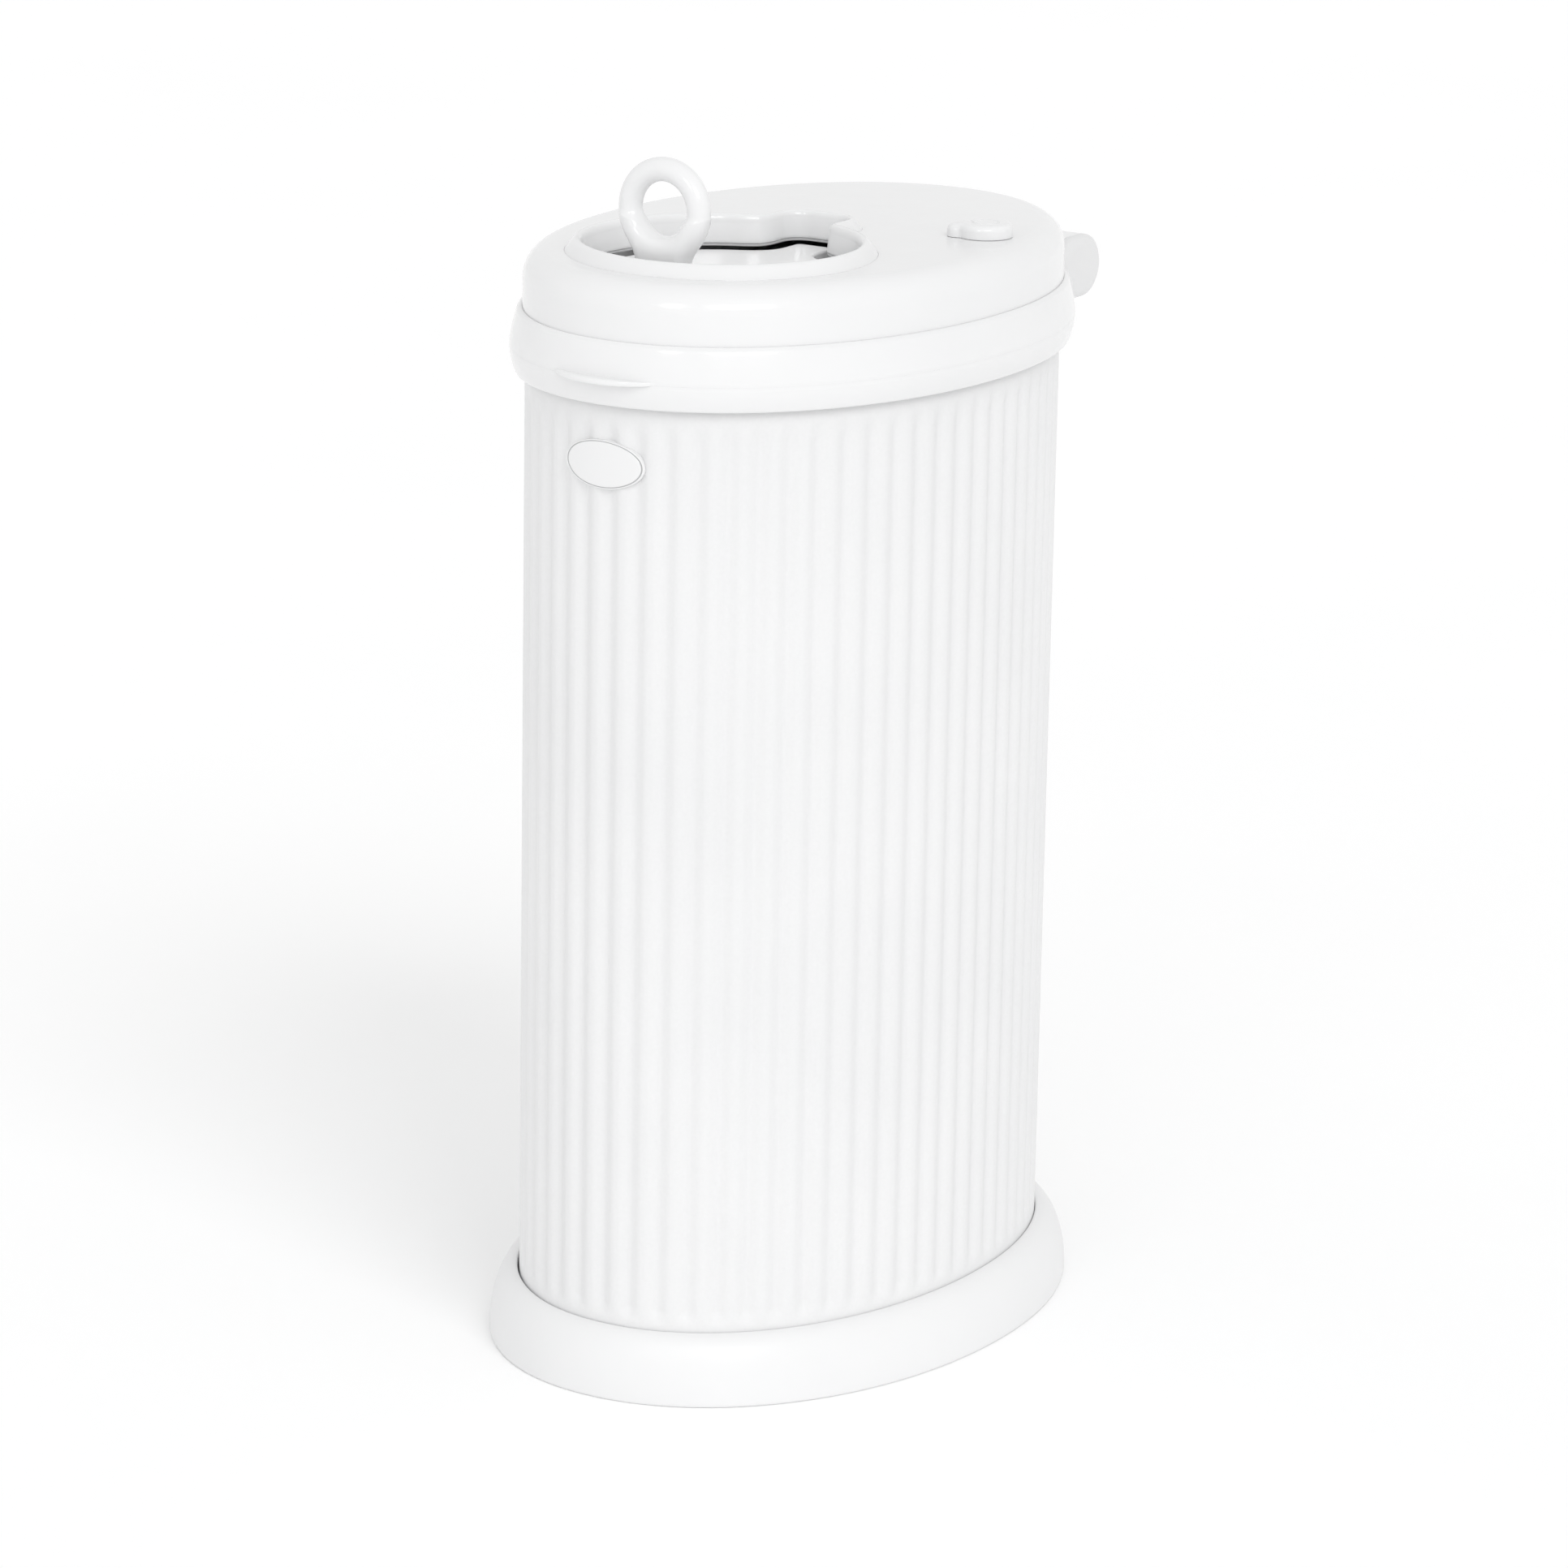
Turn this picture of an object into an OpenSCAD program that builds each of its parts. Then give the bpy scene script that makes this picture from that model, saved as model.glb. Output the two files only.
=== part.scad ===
// Nappy bin: an oval steel bin body on a flared plastic foot, with a hinged
// domed lid. A door under the lid's round opening slides to the rear by its
// ring handle, and a turn knob on the lid bolts the door shut.
// Origin: centre of the oval on the floor. +Z up, the front faces -Y, the
// hinge is at the rear (+Y), and +X is the bin's right side.

/* [Body outline] */
// Half length of the steel oval, front to rear
half_l = 155.2; // [140:0.1:175]
// Half width of the steel oval
half_w = 106.1; // [100:0.1:116]
// Squareness of the oval, 2 is a true ellipse
se_n = 2.06; // [2:0.01:2.2]
// Number of steps round the oval
steps = 96; // [72:4:120]

/* [Steel shell] */
// Number of flutes round the shell
flutes = 60; // [40:1:72]
// Depth of a flute's valley
flute_d = 1.5; // [0.5:0.1:2]
// Steel thickness
steel_t = 0.8; // [0.6:0.1:1]
// Height of the shell's lower edge
shell_z0 = 8; // [8:0.5:8.5]
// Height of the shell's upper edge
shell_z1 = 470; // [469:0.5:470]

/* [Foot] */
// How far the foot flares out past the steel
flare = 13.4; // [8:0.1:20]
// Height of the foot's upper edge
skirt_z = 31.9; // [26:0.1:40]

/* [Lid] */
// Height of the band's lower edge
band_z0 = 461.1; // [461:0.1:462]
// Height of the seam between band and dome
seam_z = 490; // [489.5:0.1:490.5]
// Height of the dome's flat top
top_z = 516.1; // [515:0.1:518]
// Horizontal reach of the dome's shoulder
shoulder_h = 12.2; // [10:0.1:14]
// Height of the dome's shoulder
shoulder_v = 13.2; // [12:0.1:16]
// Wall thickness of the lid
lid_t = 2.5; // [2:0.1:3]

/* [Opening and door] */
// Distance of the opening's centre in front of the oval's centre
open_y = -65.7; // [-68:0.1:-64]
// Inner radius of the opening's rim
open_r = 61.7; // [58:0.1:62]
// Thickness of the rim
rim_t = 9.0; // [8:0.1:9.5]
// Height of the rim's crest
rim_z = 522.6; // [521:0.1:526]
// Half width of the rear pocket, inside
pocket_w = 15.8; // [15:0.1:17]
// Rear end of the pocket, inside
pocket_y = 21.5; // [20:0.1:22]
// Travel of the sliding door
door_travel = 120; // [100:1:121]

/* [Ring handle] */
// Mean radius of the ring
ring_r = 18.0; // [16:0.1:20]
// Radius of the ring's round section
ring_s = 5.4; // [4.5:0.1:6]
// Height of the ring's centre
ring_z = 541.8; // [538:0.1:548]
// Distance of the handle in front of the oval's centre
ring_y = -112.7; // [-114:0.1:-111]

/* [Lock knob] */
// Knob position across the lid
knob_x = 75.5; // [75.5:0.1:76.5]
// Knob position along the lid
knob_y = 40; // [38:0.1:42]
// Radius of the knob's disc
knob_r = 12.9; // [10:0.1:14]
// Radius of the crank pin's circle
crank_r = 6; // [6:0.1:6]

/* [Hinge] */
// Hinge axis, distance behind the oval's centre
hinge_y = 176.4; // [176:0.1:178]
// Hinge axis, height
hinge_z = 479.5; // [479:0.1:481.5]
// Radius of the hinge barrel
barrel_r = 15.1; // [14:0.1:16]
// Half length of the middle knuckle
knuckle_x = 30; // [26:0.5:31]
// Half length of the whole barrel
barrel_x = 53.3; // [50:0.1:54]
// Radius of the hinge pin
pin_r = 3; // [2.5:0.1:4]

/* [Hidden] */
$fn = 64;
eps = 0.01;
white = [0.95, 0.95, 0.95];
satin = [0.92, 0.92, 0.93];
rubber = [0.55, 0.56, 0.57];
steel = [0.72, 0.73, 0.75];
roof_z = top_z - lid_t;
pin_c = 0.05;
// half width of the gap in the lid's band at the rear
cut_x = 68;
// middle of the lift lip, across the band
lip_x = -1.5;
plate_z0 = 499;
plate_z1 = 501.5;
plateau_z = 506.9;
// thickness of the rim round the rear pocket, and height of the rim's lower edge
pocket_t = 7.9;
neck_z = 508.4;
stem_hw = 12.4;
stem_hd = 5.5;
boss_pts = [[92, -30], [92, 22], [45, -126], [58, 112]];
rail_pts = [-80, -5, 80];
tail_a = 215.7;
brk_t = [71, 90, 109];
crank_a = 45;

function sg(v) = v < 0 ? -1 : 1;
// a point of the oval at parameter t, moved out by d along the normal
function se_pt(t, d) =
    let (c = cos(t), s = sin(t),
         x = half_w*sg(c)*pow(abs(c), 2/se_n),
         y = half_l*sg(s)*pow(abs(s), 2/se_n),
         nx = sg(c)*pow(abs(x)/half_w, se_n - 1)/half_w,
         ny = sg(s)*pow(abs(y)/half_l, se_n - 1)/half_l,
         l = sqrt(nx*nx + ny*ny))
    [x + d*nx/l, y + d*ny/l];
function oval(d, n = steps) = [for (i = [0:n - 1]) se_pt(360*i/n, d)];

// arc length table of the oval, used to space the flutes evenly
tab_n = 360;
function seg(i) = norm(se_pt(360*(i + 1)/tab_n, 0) - se_pt(360*i/tab_n, 0));
arc = [for (i = 0, s = 0; i <= tab_n; s = s + seg(i), i = i + 1) [s, 360*i/tab_n]];
arc_all = arc[tab_n][0];
flute_p = 7;
function flute_off(k) = -flute_d*pow(abs(cos(180*k/flute_p)), 2.6);
// fluted outline: a valley at the middle of the front
function fluted(extra) =
    [for (f = [0:flutes - 1]) for (k = [0:flute_p - 1])
        let (s0 = arc_all*0.75 + arc_all*(f + k/flute_p)/flutes,
             s = s0 > arc_all ? s0 - arc_all : s0)
        se_pt(lookup(s, arc), flute_off(k) + extra)];

// upright band of the oval between two offsets
module ring(d_out, d_in, z0, z1) {
    translate([0, 0, z0]) linear_extrude(z1 - z0) difference() {
        polygon(oval(d_out));
        polygon(oval(d_in));
    }
}
module plate(d, z0, z1) {
    translate([0, 0, z0]) linear_extrude(z1 - z0) polygon(oval(d));
}
// point of the foot: the flare reaches a little further at the rear
function foot_pt(t, d) =
    let (p = se_pt(t, 0), q = se_pt(t, 1))
    se_pt(t, d + max(0, d - 0.6)/(flare - 0.6)*(1.15 + 1.4*(q[1] - p[1])));
// closed profile of [offset, height] points carried all round the oval
module sweep(prof, foot = false) {
    m = len(prof);
    pts = [for (i = [0:steps - 1]) for (p = prof)
        let (q = foot ? foot_pt(360*i/steps, p[0]) : se_pt(360*i/steps, p[0])) [q[0], q[1], p[1]]];
    faces = [for (i = [0:steps - 1]) for (j = [0:m - 1])
        let (a = i*m, b = ((i + 1)%steps)*m, k = (j + 1)%m)
        [a + j, a + k, b + k, b + j]];
    polyhedron(pts, faces, convexity = 6);
}
// the same profile along part of the oval, with flat ends
module sweep_arc(prof, t0, t1, n) {
    m = len(prof);
    pts = [for (i = [0:n]) for (p = prof) let (q = se_pt(t0 + (t1 - t0)*i/n, p[0])) [q[0], q[1], p[1]]];
    faces = concat(
        [for (i = [0:n - 1]) for (j = [0:m - 1])
            let (a = i*m, b = (i + 1)*m, k = (j + 1)%m) [a + j, a + k, b + k, b + j]],
        [[for (j = [m - 1:-1:0]) j]], [[for (j = [0:m - 1]) n*m + j]]);
    polyhedron(pts, faces, convexity = 6);
}
// children moved to the oval at parameter t, with their Z axis pointing outwards
module outward(t, d, z) {
    p = se_pt(t, d);
    q = se_pt(t, d + 10);
    translate([p[0], p[1], z]) rotate([0, 0, atan2(q[1] - p[1], q[0] - p[0])]) rotate([0, 90, 0]) children();
}
module both() { children(); mirror([1, 0, 0]) children(); }
module screw(r_head, h_head, r, l) {
    // head below the origin, shank up
    translate([0, 0, -h_head]) cylinder(r = r_head, h = h_head, $fn = 32);
    translate([0, 0, -eps]) cylinder(r = r, h = l + eps, $fn = 24);
}
// opening's outline in plan: circle with a rear pocket
module keyhole(r, hw, ye, rc = 9) {
    translate([0, open_y]) circle(r, $fn = 96);
    translate([-hw, open_y]) square([2*hw, ye - rc - open_y]);
    translate([-hw + rc, ye - rc - eps]) square([2*(hw - rc), rc + eps]);
    for (s = [-1, 1]) translate([s*(hw - rc), ye - rc]) circle(rc, $fn = 48);
}

// foot: flared skirt with a ledge that carries the shell and the pan
skirt_out = concat([[flare - 0.9, 0.8], [flare - 0.25, 1.7]],
    [for (i = [0:7]) let (a = 90*i/7) [0.6 + (flare - 0.6)*cos(a), 3 + (skirt_z - 3)*sin(a)]]);
skirt_in = [for (i = [0:5]) let (a = 76 - 76*i/5)
    [0.6 + (flare - 3.2)*cos(a), 0.8 + (skirt_z - 3.4)*sin(a)]];
module base_skirt() color(white) difference() {
    sweep(concat(skirt_out, [[0.35, 31.2], [0.35, 8], [-12, 8], [-12, 5], [3.0, 5]], skirt_in), true);
    for (t = [30:60:360]) translate([se_pt(t, -9)[0], se_pt(t, -9)[1], 4]) cylinder(r = 1.85, h = 5, $fn = 24);
}
module base_pan() color(white) difference() {
    union() {
        plate(-3.0, 8, 11);
        ring(-3.0, -5.2, 10.9, 26);
        translate([0, 0, 1.5]) cylinder(r = 16, h = 7);
        for (t = [30:60:360]) translate([se_pt(t, -9)[0], se_pt(t, -9)[1], 10.9]) cylinder(r = 4, h = 6.1, $fn = 32);
    }
    for (t = [30:60:360]) translate([se_pt(t, -9)[0], se_pt(t, -9)[1], 7]) cylinder(r = 1.85, h = 8, $fn = 24);
}
module base_screws() color(steel)
    for (t = [30:60:360]) translate([se_pt(t, -9)[0], se_pt(t, -9)[1], 5]) screw(3.4, 2, 1.8, 9);
module foot_pads() color(rubber) {
    for (t = [0:60:300]) translate([se_pt(t, -6.2)[0], se_pt(t, -6.2)[1], 0]) cylinder(r = 5.4, h = 5, $fn = 40);
    cylinder(r = 13, h = 1.5);
}
module steel_shell() color(satin)
    translate([0, 0, shell_z0]) linear_extrude(shell_z1 - shell_z0) difference() {
        polygon(fluted(0));
        polygon(fluted(-steel_t));
    }
module badge() color(white) intersection() {
    ring(1.3, 0.1, 415, 451);
    translate([-3.4, -100, 433.6]) rotate([90, 0, 0]) linear_extrude(80)
        polygon([for (i = [0:47]) [21.4*cos(7.5*i), 11.0*sin(7.5*i)]]);
}

// collar that plugs into the shell's top edge
module top_collar() color(white) difference() {
    union() {
        ring(-2.7, -5.2, 440, 484);
        ring(0.5, -5.2, shell_z1, 472.2);
        ring(-4, -12, 470, 472.2);
    }
    for (t = brk_t) outward(t, -8, 477.5) cylinder(r = 1.55, h = 14, $fn = 24);
}
module bag_ring() color(white) union() {
    ring(-7.6, -22, 472.2, 474.4);
    ring(-19.8, -22, 474.3, 479);
    ring(-12.4, -14.4, 452, 472.3);
}
brk_prof = [[4.7, 461.2], [6.3, 465.5], [7.0, 470], [7.0, 474.5], [6.5, 479], [5.4, 483], [4.0, 486.5],
    [3.2, 488.2], [2.6, 488.2], [2.6, 461.2]];
module hinge_bracket() color(white) difference() {
    union() {
        intersection() {
            sweep_arc(brk_prof, 48, 132, 22);
            translate([-66.5, 60, 440]) cube([133, 120, 60]);
        }
        intersection() {
            ring(2.9, -2.7, 472.3, 482);
            translate([-60, 60, 440]) cube([120, 120, 60]);
        }
        translate([-knuckle_x, hinge_y, hinge_z]) rotate([0, 90, 0]) cylinder(r = barrel_r, h = 2*knuckle_x);
        translate([-knuckle_x, 157.4, 466]) cube([2*knuckle_x, hinge_y - 157.4, 22]);
        translate([-knuckle_x, 150.5, 472.4]) cube([2*knuckle_x, 12, 9.5]);
    }
    // clear of the collar's bead and of the steel
    plate(-2.6, 460, 490);
    ring(2.4, -2.7, 455, 472.25);
    translate([-60, hinge_y, hinge_z]) rotate([0, 90, 0]) cylinder(r = pin_r + pin_c, h = 120, $fn = 48);
    for (t = brk_t) outward(t, -8, 477.5) cylinder(r = 1.55, h = 14, $fn = 24);
}
module hinge_screws() color(steel)
    for (t = brk_t) outward(t, -5.35, 477.5) screw(2.6, 1.7, 1.5, 9);
module hinge_pin() color(steel)
    translate([-48.2, hinge_y, hinge_z]) rotate([0, 90, 0]) cylinder(r = pin_r, h = 96.4, $fn = 48);

// lid band: barrel-shaped lower frame of the lid with a lift lip
band_prof = [[3.2, band_z0], [4.9, 461.7], [6.3, 465.5], [7.0, 470], [7.0, 474.5], [6.5, 479], [5.4, 483],
    [4.0, 486.5], [2.8, 489], [2.2, 489.8], [1.7, seam_z], [1.45, 489.6], [1.45, 487.02], [-1.2, 487.02],
    [-1.2, 485], [1.6, 485], [2.9, 478], [3.4, 470], [2.9, 463], [2.6, 461.4]];
module lid_band() color(white) {
    difference() {
        sweep(band_prof);
        translate([-cut_x, 60, 440]) cube([2*cut_x, 120, 60]);
    }
    translate([0, 0, 471]) linear_extrude(2.2)
        polygon(concat([for (i = [0:12]) let (u = -1 + i/6)
                [lip_x + 23.5*u, -(half_l + 6.3) + 3.3*u*u - 5.5*(1 - u*u)]],
            [for (i = [12:-1:0]) let (u = -1 + i/6) [lip_x + 23.5*u, -(half_l + 4.4) + 3.3*u*u]]));
}
// domed cover with roof
dome_out = [for (i = [0:7]) let (a = 90*i/7)
    [1.3 - shoulder_h*(1 - cos(a)), top_z - shoulder_v*(1 - sin(a))]];
dome_in = [for (i = [0:5]) let (a = 90 - 90*i/5)
    [1.3 - shoulder_h + (shoulder_h - lid_t)*cos(a), top_z - shoulder_v + (shoulder_v - lid_t)*sin(a)]];
module lid_cover() color(white) difference() {
    union() {
        sweep(concat([[1.3, 487.05]], dome_out, [[-16, top_z], [-16, roof_z]], dome_in, [[-1.2, 487.05]]));
        plate(-14, roof_z, top_z);
        both() for (p = boss_pts) translate([p[0], p[1], 489.55]) cylinder(r = 4.5, h = 24.4, $fn = 32);
    }
    translate([0, 0, roof_z - 1]) linear_extrude(10) keyhole(66.4, 20.6, 26.3, 11);
    both() for (p = boss_pts) translate([p[0], p[1], 489]) cylinder(r = 1.55, h = 15, $fn = 24);
    translate([knob_x, knob_y, roof_z - 1]) cylinder(r = 3.56, h = 10, $fn = 48);
    // slots in the rear wall for the hinge leaf's arms
    both() translate([30.3, 130, 480]) cube([18.4, 40, 14.9]);
}
module opening_rim() color(white) difference() {
    union() {
        translate([0, open_y, 0]) rotate_extrude($fn = 128)
            polygon([[50, neck_z], [66.2, neck_z], [66.2, top_z], [open_r + rim_t, top_z], [open_r + rim_t - 0.5, 517.6],
                [open_r + rim_t - 1.2, 519], [open_r + rim_t - 2.1, 520.3], [open_r + rim_t - 3.3, 521.5],
                [open_r + rim_t - 4.6, 522.3], [65, rim_z], [64.2, rim_z], [62.8, 522], [50, 520.6]]);
        translate([0, 0, neck_z]) linear_extrude(top_z - neck_z + eps) keyhole(55, 20.4, 26.1, 11);
        translate([0, 0, top_z]) linear_extrude(3.4) keyhole(55, pocket_w + pocket_t, pocket_y + pocket_t, 13);
        translate([0, 0, top_z + 3.3]) linear_extrude(1.9) keyhole(55, pocket_w + pocket_t - 1.2, pocket_y + pocket_t - 1.2, 12.5);
        translate([0, 0, top_z + 5.1]) linear_extrude(rim_z - top_z - 5.1) keyhole(55, pocket_w + pocket_t - 2.8, pocket_y + pocket_t - 2.8, 12);
    }
    translate([0, 0, 505]) linear_extrude(30) keyhole(open_r, pocket_w, pocket_y, 9);
}
module lid_tray() color(white) difference() {
    union() {
        plate(-1.6, 487.1, 489.5);
        translate([0, open_y, 479.8]) cylinder(r = 62, h = 8, $fn = 96);
    }
    translate([0, open_y, 470]) cylinder(r = 60, h = 30, $fn = 96);
    both() for (p = boss_pts) translate([p[0], p[1], 480]) cylinder(r = 1.75, h = 15, $fn = 24);
    both() for (y = rail_pts) translate([73.4, y, 480]) cylinder(r = 1.75, h = 15, $fn = 24);
    both() translate([38, 126, 480]) cylinder(r = 1.75, h = 15, $fn = 24);
}
module tray_screws() color(steel)
    both() for (p = boss_pts) translate([p[0], p[1], 487.1]) screw(3.2, 1.8, 1.5, 14);
module rail_screws() color(steel)
    both() for (y = rail_pts) translate([73.4, y, 487.1]) screw(2.8, 1.6, 1.5, 4);
module leaf_screws() color(steel)
    both() translate([38, 126, 487.1]) screw(3.2, 1.8, 1.5, 6);

// guide rail for the door's straight edge
module rail(win) color(white) difference() {
    union() {
        translate([66.5, -102, 489.5]) cube([4.5, 204, 16.1]);
        for (y = rail_pts) translate([70.9, y - 5, 489.5]) cube([6.1, 10, 2]);
    }
    translate([60, -110, 498.6]) cube([9.5, 220, 3.3]);
    if (win) translate([60, -22.6, 498.6]) cube([20, 10.2, 10]);
    for (y = rail_pts) translate([73.4, y, 480]) cylinder(r = 1.55, h = 15, $fn = 24);
}
module rail_left() mirror([1, 0, 0]) rail(false);
module rail_right() rail(true);
module door_seal() color(rubber) translate([0, 0, 507.25]) linear_extrude(neck_z - 507.3) difference() {
    keyhole(65.4, 19.6, 25.3, 11);
    keyhole(61.9, 16, 21.7, 9);
}
module lid_seal() color(rubber) ring(-2.6, -6.4, 484.4, 487.05);

// hinge leaf of the lid: cross plate inside, two arms with the outer knuckles
module lid_hinge_leaf() color(white) difference() {
    union() {
        translate([-48.4, 118, 489.6]) cube([96.8, 12, 4.4]);
        both() {
            translate([30.6, 118, 490.4]) cube([17.8, hinge_y - 118, hinge_z + barrel_r - 490.4]);
            translate([30.6, hinge_y, hinge_z]) rotate([0, 90, 0]) cylinder(r = barrel_r, h = 17.8);
        }
    }
    translate([-60, hinge_y, hinge_z]) rotate([0, 90, 0]) cylinder(r = pin_r + pin_c, h = 120, $fn = 48);
    both() translate([38, 126, 480]) cylinder(r = 1.55, h = 14, $fn = 24);
}
cap_prof = [[0, 0], [barrel_r, 0], [barrel_r, 1.6], [barrel_r - 0.4, 2.9], [barrel_r - 1.2, 4], [barrel_r - 2.4, 4.6],
    [barrel_r - 4.4, barrel_x - 48.45], [0, barrel_x - 48.45]];
module hinge_caps() color(white) both() translate([48.45, hinge_y, hinge_z]) {
    for (dy = [0, -9]) translate([0, dy, 0]) rotate([0, 90, 0]) rotate_extrude($fn = 64) polygon(cap_prof);
    rotate([90, 0, 0]) linear_extrude(9)
        polygon(concat([for (i = [1:6]) [cap_prof[i][1], cap_prof[i][0]]], [for (i = [6:-1:1]) [cap_prof[i][1], -cap_prof[i][0]]]));
}

// sliding door: guided plate with a raised middle
module door_panel() color(white) difference() {
    union() {
        translate([0, 0, plate_z0]) linear_extrude(plate_z1 - plate_z0) {
            translate([0, open_y]) circle(66, $fn = 96);
            translate([-69, -100]) square([138, 78]);
            translate([-26, -40]) square([52, 54]);
            translate([-15, 0]) square([30, 25]);
            for (s = [-1, 1]) translate([s*15, 14]) circle(11, $fn = 48);
        }
        translate([0, 0, plate_z1 - eps]) linear_extrude(plateau_z - plate_z1 + eps) keyhole(56, 10.4, 15.8, 8);
    }
    both() translate([7, ring_y, 490]) cylinder(r = 1.75, h = 30, $fn = 24);
}
module ring_handle() color(white) difference() {
    union() {
        translate([0, ring_y, ring_z]) rotate([90, 0, 0]) rotate_extrude($fn = 96) translate([ring_r, 0]) circle(ring_s, $fn = 32);
        difference() {
            translate([0, ring_y + stem_hd, 0]) rotate([90, 0, 0]) linear_extrude(2*stem_hd)
                polygon([[-13.6, plateau_z + eps], [13.6, plateau_z + eps], [13.2, 511], [13.1, 517], [13.8, 521.8], [15.4, 526.8],
                    [17.4, 530.8], [12, 534.8], [-12, 534.8], [-17.4, 530.8], [-15.4, 526.8], [-13.8, 521.8], [-13.1, 517], [-13.2, 511]]);
            translate([0, ring_y + 20, ring_z]) rotate([90, 0, 0]) cylinder(r = ring_r - 4, h = 40, $fn = 96);
        }
    }
    both() translate([7, ring_y, 500]) cylinder(r = 1.55, h = 16, $fn = 24);
}
module handle_screws() color(steel)
    both() translate([7, ring_y, plate_z0]) screw(3.2, 1.8, 1.5, 16);

// turn knob with a pointer tail, and its crank
module lock_knob() color(white) translate([knob_x, knob_y, 0]) difference() {
    union() {
        rotate_extrude($fn = 64)
            polygon([[0, 516.4], [knob_r, 516.4], [knob_r, 520.6], [knob_r - 0.4, 521.7],
                [knob_r - 1.2, 522.4], [knob_r - 2, 522.6], [0, 522.6]]);
        rotate([0, 0, tail_a]) {
            translate([12.6, 0, 516.4]) cylinder(r = 5.2, h = 5.4, $fn = 40);
            translate([6, -5.2, 516.4]) cube([6.6, 10.4, 5.4]);
        }
    }
    translate([0, 0, 510]) cylinder(r = 3.5, h = 10.6, $fn = 48);
    translate([0, 0, 522.2]) difference() {
        cylinder(r = 6.6, h = 2, $fn = 48);
        translate([0, 0, -1]) cylinder(r = 5.6, h = 4, $fn = 48);
    }
}
module lock_spindle() color(white) translate([knob_x, knob_y, 0]) {
    translate([0, 0, 509.8]) cylinder(r = 3.5, h = 10.7, $fn = 48);
    translate([0, 0, 509.7]) cylinder(r = 8.5, h = 2.5, $fn = 48);
    rotate([0, 0, crank_a]) translate([crank_r, 0, 505.6]) cylinder(r = 2, h = 4.5, $fn = 32);
}
// bolt pushed sideways by the crank pin; its foot drops behind the door's corner
module lock_bolt() color(white) difference() {
    union() {
        translate([72.4, 34, 506]) cube([15.4, 19.5, 3.3]);
        translate([72.4, -21.8, 506]) cube([7.4, 56, 3.3]);
        translate([72.4, -21.8, 499.2]) cube([7.4, 8.6, 7]);
    }
    translate([knob_x + crank_r*cos(crank_a), 0, 500]) {
        translate([-2.4, 43.6, 0]) cube([4.8, 3, 20]);
        translate([0, 43.6, 0]) cylinder(r = 2.4, h = 20, $fn = 32);
        translate([0, 46.6, 0]) cylinder(r = 2.4, h = 20, $fn = 32);
    }
}

base_skirt();
base_pan();
base_screws();
foot_pads();
steel_shell();
badge();
top_collar();
bag_ring();
hinge_bracket();
hinge_screws();
hinge_pin();
lid_band();
lid_cover();
opening_rim();
lid_tray();
tray_screws();
rail_left();
rail_right();
rail_screws();
door_seal();
lid_seal();
lid_hinge_leaf();
leaf_screws();
hinge_caps();
door_panel();
ring_handle();
handle_screws();
lock_knob();
lock_spindle();
lock_bolt();
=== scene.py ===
import math

import bmesh
import bpy
import numpy as np
from mathutils import Matrix, Vector
from mathutils.geometry import tessellate_polygon


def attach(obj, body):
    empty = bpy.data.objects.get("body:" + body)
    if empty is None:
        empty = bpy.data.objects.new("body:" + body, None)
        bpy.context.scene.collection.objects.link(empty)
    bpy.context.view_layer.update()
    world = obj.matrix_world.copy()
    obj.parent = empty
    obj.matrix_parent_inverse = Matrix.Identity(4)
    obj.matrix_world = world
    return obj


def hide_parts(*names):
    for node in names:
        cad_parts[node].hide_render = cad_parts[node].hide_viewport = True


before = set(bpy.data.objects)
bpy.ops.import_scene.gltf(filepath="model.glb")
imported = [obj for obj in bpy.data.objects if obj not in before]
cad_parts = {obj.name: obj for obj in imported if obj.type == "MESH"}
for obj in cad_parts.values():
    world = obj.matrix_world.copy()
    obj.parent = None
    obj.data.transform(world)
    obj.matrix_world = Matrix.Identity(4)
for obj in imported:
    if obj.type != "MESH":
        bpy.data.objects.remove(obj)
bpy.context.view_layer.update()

MM = 0.001
HL, HW, SN = 155.2, 106.1, 2.06
OPEN_Y = -65.7
HINGE_Y, HINGE_Z = 176.4, 479.5
TOP_Z = 516.1
NECK_Z = 508.4
PLATEAU_Z = 506.9


# ---------------------------------------------------------------- oval outline
def oval(t, d):
    """Point of the oval at parameter t (radians), moved out by d along the normal."""
    t, d = np.broadcast_arrays(np.asarray(t, float), np.asarray(d, float))
    c, s = np.cos(t), np.sin(t)
    x = HW * np.sign(c) * np.abs(c) ** (2 / SN)
    y = HL * np.sign(s) * np.abs(s) ** (2 / SN)
    nx = np.sign(c) * (np.abs(x) / HW) ** (SN - 1) / HW
    ny = np.sign(s) * (np.abs(y) / HL) ** (SN - 1) / HL
    n = np.hypot(nx, ny)
    return x + d * nx / n, y + d * ny / n, nx / n, ny / n


_tt = np.linspace(-math.pi / 2, 1.5 * math.pi, 40001)
_ox, _oy, _, _ = oval(_tt, 0)
_arc = np.concatenate([[0], np.cumsum(np.hypot(np.diff(_ox), np.diff(_oy)))])
ARC = _arc[-1]


def t_of_arc(s):
    """Parameter t of the oval at arc length s from the middle of the front, anticlockwise."""
    return np.interp(np.mod(s, ARC), _arc, _tt)


def ring_t(n):
    return t_of_arc(ARC * np.arange(n) / n)


def rear_t(x, d):
    """Parameter t of the rear half where the outline at offset d reaches x."""
    lo, hi = 0.02, math.pi - 0.02
    for _ in range(50):
        mid = (lo + hi) / 2
        if oval(mid, d)[0] > x:
            lo = mid
        else:
            hi = mid
    return (lo + hi) / 2


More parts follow.
